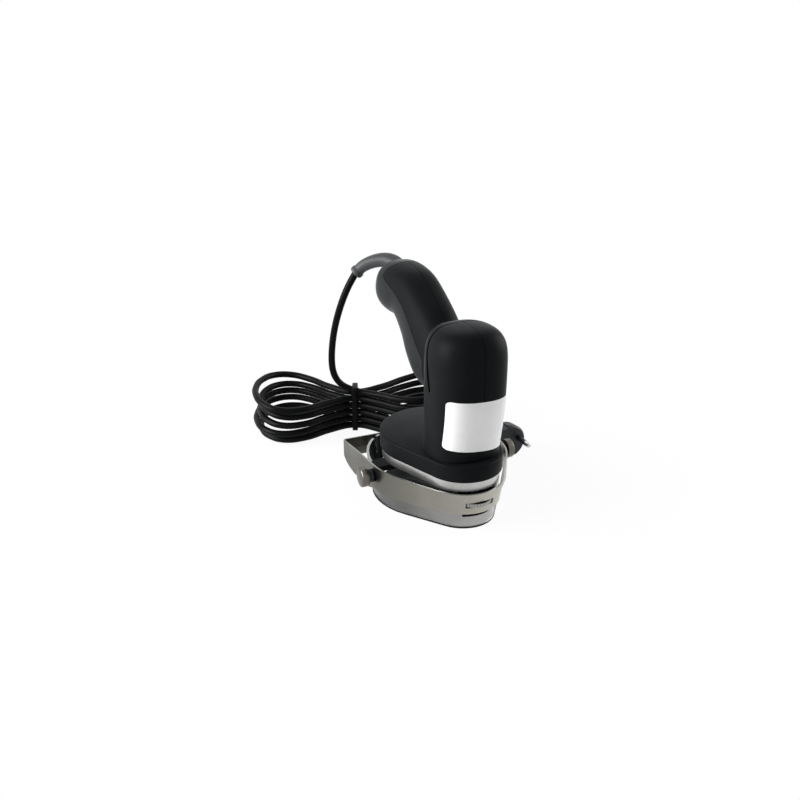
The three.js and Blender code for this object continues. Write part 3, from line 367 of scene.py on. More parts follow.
def lamp(name, place, target, size, power):
    """A square soft lamp that points at a target."""
    data = bpy.data.lights.new(name, "AREA")
    data.size = size
    data.energy = power
    made = bpy.data.objects.new(name, data)
    made.location = place
    way = Vector(target) - Vector(place)
    made.rotation_euler = way.to_track_quat("-Z", "Y").to_euler()
    scene.collection.objects.link(made)


lamp("lamp_left", place=(0.25, 0.95, 0.40), target=(0.06, 0, 0.12), size=0.8, power=20)
lamp("lamp_right", place=(-0.05, -0.95, 0.40), target=(0.02, 0, 0.08), size=0.7, power=7)
lamp("lamp_behind", place=(0.85, -0.15, 0.95), target=(0.05, 0, 0.12), size=0.7, power=1.2)

# %% [markdown]
# The floor mixes a white glow with a plain matt white. Near the machine a little less of it glows, so the
# machine stands on its own soft shadow, and further out the floor can't be told from the world.

# %% Floor
shadow_radius = 0.13
clear_radius = 0.3
glow_near = 0.93
bpy.ops.object.select_all(action="DESELECT")
bpy.ops.mesh.primitive_plane_add(size=12, location=(0.09, 0, -0.0004))
floor = bpy.context.object
floor.name = "floor"
floor_white = bpy.data.materials.new("floor_white")
floor_white.use_nodes = True
tree = floor_white.node_tree
tree.nodes.clear()
matt = tree.nodes.new("ShaderNodeBsdfDiffuse")
matt.inputs["Color"].default_value = (0.94, 0.94, 0.94, 1)
glow = tree.nodes.new("ShaderNodeEmission")
spot = tree.nodes.new("ShaderNodeTexCoord")
distance = tree.nodes.new("ShaderNodeVectorMath")
distance.operation = "LENGTH"
tree.links.new(spot.outputs["Object"], distance.inputs[0])
clear = tree.nodes.new("ShaderNodeMapRange")
clear.inputs["From Min"].default_value = shadow_radius
clear.inputs["From Max"].default_value = clear_radius
clear.inputs["To Min"].default_value = glow_near
tree.links.new(distance.outputs["Value"], clear.inputs["Value"])
share = tree.nodes.new("ShaderNodeMath")
share.operation = "MULTIPLY"
tree.links.new(clear.outputs["Result"], share.inputs[1])
tree.links.new(seen_mask(tree), share.inputs[0])
mix = tree.nodes.new("ShaderNodeMixShader")
tree.links.new(share.outputs[0], mix.inputs[0])
tree.links.new(matt.outputs[0], mix.inputs[1])
tree.links.new(glow.outputs[0], mix.inputs[2])
out = tree.nodes.new("ShaderNodeOutputMaterial")
tree.links.new(mix.outputs[0], out.inputs["Surface"])
floor.data.materials.append(floor_white)
print("floor:", [round(side, 1) for side in floor.dimensions])

# %% [markdown]
# ## Effects that several finishes share
# Moulded plastic has a fine dull grain, drawn steel has long thin lines along one way, and everything that
# is handled has soft patches where it is a little shinier. Each of these is one node group with named
# inputs, so each finish sets its own size and way. They read Object coordinates, which are metres here.

# %% Helpers for node groups


def new_group(name, inputs, outputs):
    """An empty shader node group with its sockets, and its input and output nodes."""
    group = bpy.data.node_groups.new(name, "ShaderNodeTree")
    for label, kind, value in inputs:
        socket = group.interface.new_socket(name=label, in_out="INPUT", socket_type=kind)
        socket.default_value = value
    for label, kind in outputs:
        group.interface.new_socket(name=label, in_out="OUTPUT", socket_type=kind)
    return group, group.nodes.new("NodeGroupInput"), group.nodes.new("NodeGroupOutput")


def scaled_place(group, scale_socket):
    """Object coordinates times a scale, as a vector socket."""
    place = group.nodes.new("ShaderNodeTexCoord")
    product = group.nodes.new("ShaderNodeVectorMath")
    product.operation = "MULTIPLY"
    group.links.new(place.outputs["Object"], product.inputs[0])
    group.links.new(scale_socket, product.inputs[1])
    return product.outputs[0]


def noise(group, vector, detail, roughness=0.5):
    """A noise texture at scale 1 on a vector."""
    made = group.nodes.new("ShaderNodeTexNoise")
    made.inputs["Scale"].default_value = 1
    made.inputs["Detail"].default_value = detail
    made.inputs["Roughness"].default_value = roughness
    group.links.new(vector, made.inputs["Vector"])
    return made.outputs["Fac"]


def ranged(group, value, low, high, first=0, second=1):
    """A value carried from one range to another, and held at its ends."""
    made = group.nodes.new("ShaderNodeMapRange")
    made.inputs["From Min"].default_value = low
    made.inputs["From Max"].default_value = high
    made.inputs["To Min"].default_value = first
    made.inputs["To Max"].default_value = second
    group.links.new(value, made.inputs["Value"])
    return made.outputs["Result"]


print("node groups so far:", len(bpy.data.node_groups))

# %% Grain, drawn lines and patches
one = "NodeSocketFloat"
three = "NodeSocketVector"
tint = "NodeSocketColor"

grain_group, source, target = new_group(
    "moulded_grain", [("Scale", three, (1800, 1800, 1800))], [("Height", one)]
)
fine = noise(grain_group, scaled_place(grain_group, source.outputs["Scale"]), detail=2)
grain_group.links.new(ranged(grain_group, fine, low=0.3, high=0.7), target.inputs["Height"])

lines_group, source, target = new_group(
    "drawn_lines", [("Scale", three, (30, 30, 4000))], [("Line", one)]
)
lines = noise(lines_group, scaled_place(lines_group, source.outputs["Scale"]), detail=4, roughness=0.65)
lines_group.links.new(ranged(lines_group, lines, low=0.3, high=0.7), target.inputs["Line"])

touch_group, source, target = new_group(
    "handled_patches", [("Scale", three, (45, 45, 45))], [("Patch", one)]
)
patches = noise(touch_group, scaled_place(touch_group, source.outputs["Scale"]), detail=5, roughness=0.55)
touch_group.links.new(ranged(touch_group, patches, low=0.38, high=0.66), target.inputs["Patch"])
print("node groups:", [group.name for group in (grain_group, lines_group, touch_group)])

# %% [markdown]
# The bare metal gets painted shade on its left side and a painted reflection on its right. A fourth group
# scales a colour by a share that changes along Y, between two places.

# %% Painted light across a piece
painted_light_inputs = [("Start", "From Min"), ("End", "From Max"), ("First", "To Min"), ("Second", "To Max")]
limits = [(label, one, 1) for label, _ in painted_light_inputs]
painted_light_group, source, target = new_group(
    "painted_light_across", [("Colour", tint, (1, 1, 1, 1)), *limits], [("Colour", tint)]
)
spot = painted_light_group.nodes.new("ShaderNodeTexCoord")
split = painted_light_group.nodes.new("ShaderNodeSeparateXYZ")
painted_light_group.links.new(spot.outputs["Object"], split.inputs[0])
share = painted_light_group.nodes.new("ShaderNodeMapRange")
for label, socket in painted_light_inputs:
    painted_light_group.links.new(source.outputs[label], share.inputs[socket])
painted_light_group.links.new(split.outputs["Y"], share.inputs["Value"])
product = painted_light_group.nodes.new("ShaderNodeVectorMath")
product.operation = "SCALE"
painted_light_group.links.new(source.outputs["Colour"], product.inputs[0])
painted_light_group.links.new(share.outputs["Result"], product.inputs["Scale"])
painted_light_group.links.new(product.outputs[0], target.inputs["Colour"])
print("fade:", [socket.name for socket in painted_light_group.interface.items_tree])

# %% [markdown]
# ## Finishes
# One function sets up a finish: its two colours and two roughness values are mixed by patches, and a small
# bump comes from the grain or from the drawn lines. What is the same all over, such as metal or not, is set
# on the shader itself.

# %% One finish
sheen_roughness = 0.3
sheen_tint = (0.9, 0.97, 1, 1)
patch_share = 0.5


def finish(name, colours, roughness, metal, effect, scale, bump, specular=0.5, sheen=0, painted_light=None):
    """A material with patches in its colour and roughness, and fine relief from one of the shared effects."""
    made = bpy.data.materials.new(name)
    made.use_nodes = True
    tree = made.node_tree
    shader = tree.nodes["Principled BSDF"]
    shader.inputs["Metallic"].default_value = metal
    shader.inputs["Specular IOR Level"].default_value = specular
    shader.inputs["Sheen Weight"].default_value = sheen
    shader.inputs["Sheen Roughness"].default_value = sheen_roughness
    shader.inputs["Sheen Tint"].default_value = sheen_tint
    touch = tree.nodes.new("ShaderNodeGroup")
    touch.node_tree = touch_group
    relief = tree.nodes.new("ShaderNodeGroup")
    relief.node_tree = effect
    relief.inputs["Scale"].default_value = scale
    rest = tree.nodes.new("ShaderNodeMath")
    rest.operation = "MULTIPLY"
    rest.inputs[1].default_value = 1 - patch_share
    tree.links.new(relief.outputs[0], rest.inputs[0])
    both = tree.nodes.new("ShaderNodeMath")
    both.operation = "MULTIPLY_ADD"
    both.inputs[1].default_value = patch_share
    tree.links.new(touch.outputs["Patch"], both.inputs[0])
    tree.links.new(rest.outputs[0], both.inputs[2])
    colour = tree.nodes.new("ShaderNodeMix")
    colour.data_type = "RGBA"
    colour.inputs["A"].default_value = (*colours[0], 1)
    colour.inputs["B"].default_value = (*colours[1], 1)
    tree.links.new(both.outputs[0], colour.inputs["Factor"])
    shown = colour.outputs["Result"]
    # Painted light: the colour is scaled along Y, darker on the left side and brighter on the right.
    if painted_light:
        across = tree.nodes.new("ShaderNodeGroup")
        across.node_tree = painted_light_group
        for (label, _), value in zip(painted_light_inputs, painted_light):
            across.inputs[label].default_value = value
        tree.links.new(shown, across.inputs["Colour"])
        shown = across.outputs["Colour"]
    tree.links.new(shown, shader.inputs["Base Color"])
    tree.links.new(ranged(tree, both.outputs[0], 0, 1, *roughness), shader.inputs["Roughness"])
    raised = tree.nodes.new("ShaderNodeBump")
    raised.inputs["Strength"].default_value = 1
    raised.inputs["Distance"].default_value = bump * MM
    tree.links.new(relief.outputs[0], raised.inputs["Height"])
    tree.links.new(raised.outputs["Normal"], shader.inputs["Normal"])
    return made


print("effects for finishes:", len(bpy.data.node_groups))

# %% Kinds of finish


def moulded(name, dark, light, roughness, grain, bump, **more):
    """Plastic or rubber with a moulded grain."""
    return finish(name, [dark, light], roughness, 0, grain_group, (grain, grain, grain), bump, **more)


def drawn(name, dark, light, roughness, lines, bump, painted_light=None):
    """Metal with fine lines along one way."""
    return finish(name, [dark, light], roughness, 1, lines_group, lines, bump, painted_light=painted_light)


def cast(name, dark, light, roughness, grain, bump, painted_light=None):
    """Metal with an even grain."""
    return finish(name, [dark, light], roughness, 1, grain_group, (grain, grain, grain), bump, painted_light=painted_light)


print("kinds of finish:", [kind.__name__ for kind in (moulded, drawn, cast)])

# %% [markdown]
# The column and the lid are hard black plastic with a dull skin, and the shell of the grip is a softer,
# greyer one. A little sheen lifts their edges where a mirror shine would look wet. The cord is black
# rubber, the boot is paler, and the plug is slightly blue.

# %% Plastics and rubber
black_plastic = moulded(
    "black_plastic", (0.0046, 0.0053, 0.0057), (0.0066, 0.0075, 0.008),
    roughness=(0.46, 0.38), grain=1800, bump=0.012, specular=0.03, sheen=0.09,
)
grip_plastic = moulded(
    "grip_plastic", (0.0105, 0.0118, 0.0125), (0.0145, 0.0162, 0.0172),
    roughness=(0.42, 0.34), grain=1800, bump=0.01, specular=0.045, sheen=0.16,
)
cord_rubber = moulded(
    "cord_rubber", (0.0014, 0.0015, 0.0017), (0.0026, 0.0028, 0.003),
    roughness=(0.42, 0.32), grain=700, bump=0.01, specular=0.06,
)
boot_rubber = moulded(
    "boot_rubber", (0.036, 0.038, 0.04), (0.052, 0.0545, 0.058),
    roughness=(0.46, 0.36), grain=1200, bump=0.012, specular=0.2,
)
plug_rubber = moulded(
    "plug_rubber", (0.009, 0.011, 0.0135), (0.014, 0.017, 0.02),
    roughness=(0.5, 0.4), grain=1200, bump=0.012, specular=0.3,
)
plate_white = moulded(
    "plate_white", (0.7, 0.7, 0.695), (0.77, 0.77, 0.765),
    roughness=(0.42, 0.34), grain=1500, bump=0.004,
)
gear_nylon = moulded(
    "gear_nylon", (0.62, 0.58, 0.46), (0.7, 0.66, 0.54),
    roughness=(0.5, 0.4), grain=900, bump=0.008,
)
dark_ferrite = moulded(
    "dark_ferrite", (0.03, 0.03, 0.032), (0.05, 0.05, 0.053),
    roughness=(0.8, 0.6), grain=900, bump=0.02,
)
# Painted shade for the hollows of the metal pieces, also used for the dark foot of the shroud.
painted_shade_and_dark_foot = moulded(
    "painted_shade_and_dark_foot", (0.007, 0.0085, 0.0095), (0.013, 0.015, 0.0165),
    roughness=(0.7, 0.6), grain=900, bump=0.01, specular=0.04,
)
print("plastics and rubbers made, materials so far:", len(bpy.data.materials))

# %% [markdown]
# The strip is warm drawn stainless steel, the shroud is greyer sheet, and the housing under the lid is
# cast. Turned and ground parts differ in how bright they are and in which way their lines run.

# %% Metals
# The strip and the shroud get painted shade on their left side and a painted reflection on their right.
strip_steel = drawn(
    "strip_steel", (0.29, 0.282, 0.246), (0.385, 0.375, 0.33),
    roughness=(0.34, 0.24), lines=(40, 40, 3500), bump=0.0015, painted_light=(-0.02, 0.062, 1.4, 0.36),
)
shroud_metal = drawn(
    "shroud_metal", (0.22, 0.22, 0.218), (0.32, 0.32, 0.314),
    roughness=(0.4, 0.3), lines=(60, 60, 2400), bump=0.003, painted_light=(-0.022, 0.045, 1.8, 0.52),
)
# The cast metal gets painted shade on its left side.
cast_metal = cast(
    "cast_metal", (0.5, 0.5, 0.49), (0.62, 0.62, 0.61),
    roughness=(0.42, 0.34), grain=900, bump=0.01, painted_light=(-0.02, 0.045, 1.05, 0.5),
)
rim_steel = cast(
    "rim_steel", (0.26, 0.26, 0.255), (0.36, 0.36, 0.352),
    roughness=(0.4, 0.3), grain=900, bump=0.004,
)
turned_steel = drawn(
    "turned_steel", (0.09, 0.09, 0.086), (0.135, 0.134, 0.128),
    roughness=(0.32, 0.22), lines=(300, 4200, 300), bump=0.0015,
)
knob_rim = drawn(
    "knob_rim", (0.11, 0.1, 0.08), (0.17, 0.155, 0.13),
    roughness=(0.36, 0.28), lines=(300, 4200, 300), bump=0.002,
)
ground_steel = drawn(
    "ground_steel", (0.5, 0.5, 0.5), (0.62, 0.62, 0.62),
    roughness=(0.3, 0.2), lines=(900, 900, 3000), bump=0.001,
)
dark_steel = drawn(
    "dark_steel", (0.2, 0.2, 0.205), (0.28, 0.28, 0.29),
    roughness=(0.4, 0.3), lines=(300, 300, 2500), bump=0.002,
)
# Painted shade: a near-black steel for faces that lie in shade.
painted_shade_metal = drawn(
    "painted_shade_metal", (0.022, 0.025, 0.03), (0.036, 0.04, 0.047),
    roughness=(0.44, 0.34), lines=(60, 60, 2400), bump=0.003,
)
wound_copper = drawn(
    "wound_copper", (0.5, 0.22, 0.1), (0.62, 0.29, 0.14),
    roughness=(0.4, 0.3), lines=(200, 200, 2500), bump=0.02,
)
print("finishes:", len(bpy.data.materials))

# %% [markdown]
# ## Finishes for the CAD pieces
# Every CAD node keeps its own mesh. Pieces inside the housing show only when the machine is taken apart,
# and each still has the finish of the real one.

# %% Finishes on the CAD nodes


def paint(piece, material):
    """The piece gets one finish all over."""
    piece.data.materials.clear()
    piece.data.materials.append(material)


bearings = ["motor_bearing_lower", "motor_bearing_upper", "spindle_bearing_lower", "spindle_bearing_upper"]
turned_parts = ["blade_spindle", "blade_nut", "pivot_knob_left", "pivot_knob_right", "wheel_stud"]
finished_nodes = []
for material, names in (
    (black_plastic, ["housing_left", "housing_right", "head_cover", "trigger", "motor_end_cap"]),
    (grip_plastic, ["grip_cover"]),
    (dark_ferrite, ["switch_body", "cooling_fan", "magnet_1", "magnet_2", "brush_1", "brush_2"]),
    (dark_steel, ["motor_can", "motor_shaft", "pinion", *bearings]),
    (wound_copper, ["armature", "commutator"]),
    (gear_nylon, ["drive_gear"]),
    (ground_steel, ["blade", "plug_pin_1", "plug_pin_2"]),
    (turned_steel, turned_parts),
    (rim_steel, ["thumb_wheel"]),
    (cast_metal, ["gear_housing"]),
    (shroud_metal, ["blade_shroud"]),
    (strip_steel, ["guard_frame"]),
    (boot_rubber, ["strain_relief"]),
    (cord_rubber, ["cord_lead", "cord_hank", "cord_tie", "cord_tail"]),
    (plug_rubber, ["plug_body"]),
):
    for name in names:
        paint(nodes[name], material)
    finished_nodes += names
print("CAD nodes without a finish:", sorted(set(nodes) - set(finished_nodes)))

# %% [markdown]
# ## Tools for modelling
# An operator acts on all that is selected, so the first helper selects one piece alone. Cutting and joining
# is done with Boolean modifiers, which are applied at once, so each piece ends as a plain mesh at the origin.

# %% Selecting, merging and cutting


def only(piece):
    """One piece is selected and active, and nothing else is."""
    bpy.ops.object.select_all(action="DESELECT")
    piece.select_set(True)
    bpy.context.view_layer.objects.active = piece


def outward(piece):
    """Doubles are merged, and all faces point out."""
    only(piece)
    bpy.ops.object.mode_set(mode="EDIT")
    bpy.ops.mesh.select_all(action="SELECT")
    bpy.ops.mesh.remove_doubles(threshold=1e-7)
    bpy.ops.mesh.normals_make_consistent(inside=False)
    bpy.ops.object.mode_set(mode="OBJECT")


def use(piece, kind, **values):
    """A modifier is added, set and applied."""
    only(piece)
    modifier = piece.modifiers.new(kind.lower(), kind)
    for name, value in values.items():
        setattr(modifier, name, value)
    bpy.ops.object.modifier_apply(modifier=modifier.name)


def carve(piece, tool, operation="DIFFERENCE", keep=False):
    """A Boolean of a piece with a tool, which is removed afterwards."""
    use(piece, "BOOLEAN", object=tool, operation=operation, solver="EXACT")
    if not keep:
        bpy.data.objects.remove(tool)


# %% [markdown]
# A lofted skin starts as a filled circle that is extruded ring by ring, and each new ring is set on the next
# section. Sections are rounded boxes from one formula: a power of 2 gives an ellipse, and a higher one
# squares it off, as on a moulded grip.

# %% Lofted skins


def loft(name, rings):
    """A closed skin: a circle is extruded from ring to ring, in millimetres, and both ends are filled."""
    bpy.ops.object.select_all(action="DESELECT")
    bpy.ops.mesh.primitive_circle_add(vertices=len(rings[0]))
    piece = bpy.context.object
    piece.name = name
    bpy.ops.object.mode_set(mode="EDIT")
    bpy.ops.mesh.select_mode(type="EDGE")
    bpy.ops.mesh.select_all(action="SELECT")
    bpy.ops.mesh.edge_face_add()
    order = {index: index for index in range(len(rings[0]))}
    for count, ring in enumerate(rings):
        if count:
            bpy.ops.mesh.extrude_region_move()
        mesh = bmesh.from_edit_mesh(piece.data)
        mesh.verts.index_update()
        chosen = [vertex for vertex in mesh.verts if vertex.select]
        if count:
            found = {}
            for vertex in chosen:
                for edge in vertex.link_edges:
                    other = edge.other_vert(vertex)
                    if not other.select:
                        found[vertex.index] = order[other.index]
            order = found
        for vertex in chosen:
            vertex.co = ring[order[vertex.index]] * MM
        bmesh.update_edit_mesh(piece.data)
    bpy.ops.object.mode_set(mode="OBJECT")
    outward(piece)
    return piece


def section(centre, across, up, power, count):
    """A rounded section from its centre, its two half axes and how square it is."""
    ring = []
    for index in range(count):
        angle = 2 * pi * (index + 0.5) / count
        side = copysign(abs(cos(angle)) ** (2 / power), cos(angle))
        rise = copysign(abs(sin(angle)) ** (2 / power), sin(angle))
        ring.append(centre + across * side + up * rise)
    return ring


print("a section of four points:", section(Vector(), Vector((1, 0, 0)), Vector((0, 1, 0)), 2, 4))

# %% [markdown]
# ## Column and grip
# The body of such a machine is moulded in two halves that part on the middle plane, with a third shell on
# the back of the grip. A subdivided box would need many loops to follow this form, so the skins are lofted
# through the same sections as the CAD, with smooth steps between them. They are joined, hollowed, and then
# cut by thin curtains where the real shells meet, so each parting line is a true gap that catches a shadow.

# %% Sections of the column and the grip
column_base = 56.7
# A row of the column is its height, and how far nose, back and sides are from the axis.
column_rows = [
    (0, 25, 33, 29.2),
    (9, 26.2, 31, 28.8),
    (38, 30.4, 30.5, 29.6),
    (70, 31, 30.5, 30),
    (85.5, 30.2, 29.5, 29.4),
    (94.3, 28, 26.5, 26.8),
    (100.2, 23.6, 21, 21.8),
    (103, 17.4, 14, 15),
    (104.2, 8, 6, 6),
]
# A row of the grip is its x, its height, its lean in degrees, its half depth and its half width.
grip_rows = [
    (6, 58, 14, 24, 19),
    (42, 64.6, 24, 31.4, 21),
    (58.2, 76.3, 29, 31.4, 21.6),
    (72, 90, 29, 26.8, 21.2),
    (91, 102.6, 27, 24.6, 20.8),
    (108, 105, 20, 25, 22.2),
    (122.5, 106, 16, 23.8, 21.8),
    (133.5, 107.4, 16, 19.6, 18.4),
    (140, 109.4, 16, 12.4, 12),
    (143.6, 110, 16, 5, 5),
]
print("sections of the column and the grip:", len(column_rows), len(grip_rows))

# %% Column and grip skins
wall = 3
column_power = 2.5
grip_power = 2.3
least_half = 1.5
hood_from = 100
end_from = 138


def column_skin(name, inset, steps, count, overrun=0):
    """The column's form, drawn in by an inset and carried down past its base by an overrun."""
    rings = []
    rows = smooth_rows(column_rows, steps)
    for index, (height, nose, back, half) in enumerate(rows):
        level = height - overrun if index == 0 else height
        level -= inset if height > hood_from else 0
        centre = Vector(((back - nose) / 2, 0, column_base + level))
        across = Vector((max((nose + back) / 2 - inset, least_half), 0, 0))
        up = Vector((0, max(half - inset, least_half), 0))
        rings.append(section(centre, across, up, column_power, count))
    return loft(name, rings)


def grip_skin(name, inset, steps, count):
    """The grip's form, drawn in by an inset."""
    rings = []
    for x, height, lean, depth, half in smooth_rows(grip_rows, steps):
        angle = radians(lean)
        back = inset if x > end_from else 0
        centre = Vector((x - back * cos(angle), 0, column_base + height - back * sin(angle)))
        deep = max(depth - inset, least_half)
        up = Vector((-sin(angle) * deep, 0, cos(angle) * deep))
        across = Vector((0, max(half - inset, least_half), 0))
        rings.append(section(centre, across, up, grip_power, count))
    return loft(name, rings)


body = column_skin("body", inset=0, steps=5, count=60)
carve(body, grip_skin("grip", inset=0, steps=5, count=48), "UNION")
room = column_skin("room", inset=wall, steps=1, count=20, overrun=2)
carve(room, grip_skin("grip_room", inset=wall, steps=1, count=16), "UNION")
carve(body, room)
print("body:", len(body.data.vertices), "points")

# %% [markdown]
# A moulded groove runs over the hood and down both sides of the column. It could be a bump in the finish,
# but a true groove shows from every side. A prism, which is a filled outline that is extruded once, goes
# right through the body along the groove's line. All of it that lies deeper than the groove is taken away,
# and what is left is cut out of the body.

# %% Outlines and prisms
beyond = 60


def side_outline(points, y):
    """Points of x and z, on the plane at y."""
    return [Vector((x, y, z)) for x, z in points]


def prism(name, outline, depth):
    """A filled outline of points in millimetres, extruded along a vector."""
    bpy.ops.object.select_all(action="DESELECT")
    bpy.ops.mesh.primitive_circle_add(vertices=len(outline), fill_type="NGON")
    piece = bpy.context.object
    piece.name = name
    for vertex, place in zip(piece.data.vertices, outline):
        vertex.co = place * MM
    bpy.ops.object.mode_set(mode="EDIT")
    bpy.ops.mesh.select_all(action="SELECT")
    bpy.ops.mesh.extrude_region_move(TRANSFORM_OT_translate={"value": depth * MM})
    bpy.ops.object.mode_set(mode="OBJECT")
    outward(piece)
    return piece


def stroke(line):
    """A narrow band along a line of x, z and half width, as an outline."""
    left, right = [], []
    for index, (x, z, half) in enumerate(line):
        ax, az, _ = line[max(index - 1, 0)]
        bx, bz, _ = line[min(index + 1, len(line) - 1)]
        way = Vector((bx - ax, bz - az)).normalized()
        left.append((x - way.y * half, z + way.x * half))
        right.append((x + way.y * half, z - way.x * half))
    return left + right[::-1]


print("corners of a stroke through 3 points:", len(stroke([(0, 0, 1), (1, 0, 1), (2, 1, 1)])))

# %% Groove of the hood
# A row of the groove is its x, its height and its half width.
groove_rows = [
    (6.4, 112, 0.5),
    (7.2, 96, 0.9),
    (7.2, 86, 1.25),
    (6.2, 76, 1.6),
    (3.6, 64, 1.8),
    (0.8, 53, 1.4),
]
groove_line = [(x, z + column_base, half) for x, z, half in smooth_rows(groove_rows, 3)]
groove_depth = 1.5
groove = prism("groove", side_outline(stroke(groove_line), -beyond), Vector((0, 2 * beyond, 0)))
carve(groove, column_skin("groove_floor", inset=groove_depth, steps=5, count=60))
carve(groove, grip_skin("groove_end", inset=0, steps=5, count=48))
carve(body, groove)
print("body with its groove:", len(body.data.vertices), "points")

# %% [markdown]
# The trigger slides in a pocket under the throat of the grip. A prism at the trigger's own lean cuts it, with
# a little room on all sides.

# %% Trigger pocket
trigger_lean = radians(48)
trigger_along = Vector((cos(trigger_lean), 0, sin(trigger_lean)))
trigger_out = Vector((sin(trigger_lean), 0, -cos(trigger_lean)))
trigger_place = Vector((72.4, 0, column_base + 48.2))
pocket_end = 12
pocket_floor = -13.5
pocket_mouth = 12
pocket_half = 8.5
pocket_side = Vector((0, -pocket_half, 0))
pocket = []
for way, out in ((-1, pocket_floor), (1, pocket_floor), (1, pocket_mouth), (-1, pocket_mouth)):
    pocket.append(trigger_place + trigger_along * way * pocket_end + trigger_out * out + pocket_side)
carve(body, prism("pocket", pocket, pocket_side * -2))
print("body with its pocket:", len(body.data.vertices), "points")

# %% [markdown]
# The rubber boot of the lead leaves the back of the grip through a close hole. The rings that make the boot
# also cut the hole, a little larger, so the two always fit.

# %% Entry of the cord
boot_root = 7.2
boot_end = 5
boot_collar = 6.2
collar_foot = 0.915
collar_from = 0.935
collar_to = 0.985
collar_slope = 0.75
entry_gap = 0.3


def boot_rings(extra, steps, count):
    """Rings along the rubber boot, from its root to the collar round the cord."""
    line = along_route(boot_points, steps)
    rings = []
    for index, centre in enumerate(line):
        share = index / steps
        way = line[min(index + 1, steps)] - line[max(index - 1, 0)]
        across = Vector((0, 0, 1)).cross(way).normalized()
        up = way.normalized().cross(across)
        collar = collar_slope if share > collar_foot else 0
        if collar_from <= share <= collar_to:
            collar = 1
        radius = boot_root - (boot_root - boot_end) * share
        radius += (boot_collar - radius) * collar
        rings.append(section(centre, across * (radius + extra), up * (radius + extra), 2, count))
    return rings


carve(body, loft("entry", boot_rings(extra=entry_gap, steps=14, count=24)))
print("body with its openings:", len(body.data.vertices), "points")

# %% [markdown]
# The shell of the grip meets the column's halves along a line that climbs the grip from the throat and turns
# up near its end. A thin curtain along that line is cut out of the body, so that the gap is real. What lies
# behind the line is then the grip's shell, and the rest is left for the column.

# %% Parting line of the grip


def copy_of(piece, name):
    """A second piece with its own mesh."""
    made = bpy.data.objects.new(name, piece.data.copy())
    scene.collection.objects.link(made)
    return made


panel_points = [
    (34, 18),
    (34, 66.5),
    (47, 78.3),
    (58, 89),
    (71, 99.3),
    (84, 106.3),
    (98, 112.2),
    (108, 115.3),
    (113, 117.8),
    (113.6, 120.6),
    (111, 124.6),
    (104, 134),
]
panel_line = [(x, z + column_base) for x, z in panel_points[:2] + smooth_rows(panel_points[1:], 3)[1:]]
behind_grip = 180
panel_region = panel_line + [(behind_grip, panel_line[-1][1]), (behind_grip, panel_line[0][1])]
half_curtain = 0.3
curtain = stroke([(x, z, half_curtain) for x, z in panel_line])
region = prism("region", side_outline(panel_region, -beyond), Vector((0, 2 * beyond, 0)))
carve(body, prism("curtain", side_outline(curtain, -beyond), Vector((0, 2 * beyond, 0))))
grip_shell = copy_of(body, "grip_shell")
carve(grip_shell, region, "INTERSECT", keep=True)
carve(body, region)
print("grip shell:", len(grip_shell.data.polygons), "faces")

# %% [markdown]
# The column's two halves part on the middle plane. Each is what lies on its own side of the plane, less half
# the seam. The edges of the cuts stay crisp, because only edges below an angle are shaded softly.

# %% Halves of the column
half_seam = 0.2
shell_angle = 32


def smooth(piece, angle=30):
    """Soft shading, with edges sharper than an angle kept crisp."""
    only(piece)
    bpy.ops.object.shade_smooth_by_angle(angle=radians(angle))


body_corners = [(-80, 40), (200, 40), (200, 220), (-80, 220)]
column_left = copy_of(body, "column_left")
column_right = copy_of(body, "column_right")
bpy.data.objects.remove(body)
for piece, side in ((column_left, 1), (column_right, -1)):
    half = prism("half", side_outline(body_corners, half_seam * side), Vector((0, beyond * side, 0)))
    carve(piece, half, "INTERSECT")
for piece, node, material in (
    (column_left, "housing_left", black_plastic),
    (column_right, "housing_right", black_plastic),
    (grip_shell, "grip_cover", grip_plastic),
):
    paint(piece, material)
    smooth(piece, shell_angle)
    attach(piece, "machine")
    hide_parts(node)
    print(piece.name, len(piece.data.polygons), "faces")

# %% [markdown]
# ## Head
# Under the column lies a flat lid with one small and one large round end, joined by straight tangents. Its
# outline is drawn once as points, raised like a coin and bevelled, which gives the soft moulded edge that
# runs all round it.

# %% Head lid
axis_distance = 46.5
large_steps = 72
small_steps = 40
past_end = 1


def head_outline(nose, wide, level):
    """A small circle at the motor, a large one at the blade, and their tangents."""
    turn = acos((nose - wide) / axis_distance)
    points = []
    for step in range(large_steps + 1):
        angle = -turn + 2 * turn * step / large_steps
        points.append(Vector((axis_distance + wide * cos(angle), wide * sin(angle), level)))
    for step in range(small_steps + 1):
        angle = turn + (2 * pi - 2 * turn) * step / small_steps
        points.append(Vector((nose * cos(angle), nose * sin(angle), level)))
    return points


lid_bottom = 42.3
lid_height = 14.1
lid_roof = 3
lid_edge = 1.5
lid_outline = head_outline(nose=32.2, wide=48.2, level=lid_bottom)
head_lid = prism("head_lid", lid_outline, Vector((0, 0, lid_height)))
use(head_lid, "BEVEL", width=lid_edge * MM, segments=4, limit_method="ANGLE", angle_limit=radians(50))
room_outline = head_outline(nose=23.6, wide=41.5, level=lid_bottom - past_end)
carve(head_lid, prism("lid_room", room_outline, Vector((0, 0, lid_height - lid_roof + past_end))))
paint(head_lid, black_plastic)
smooth(head_lid, angle=40)
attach(head_lid, "machine")
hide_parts("head_cover")
print("head lid:", len(head_lid.data.polygons), "faces")

# %% [markdown]
# The cast housing under the lid ends in a bright rim that shows all round the nose. It is an outline again,
# raised and bevelled, with a smaller outline taken out of it.

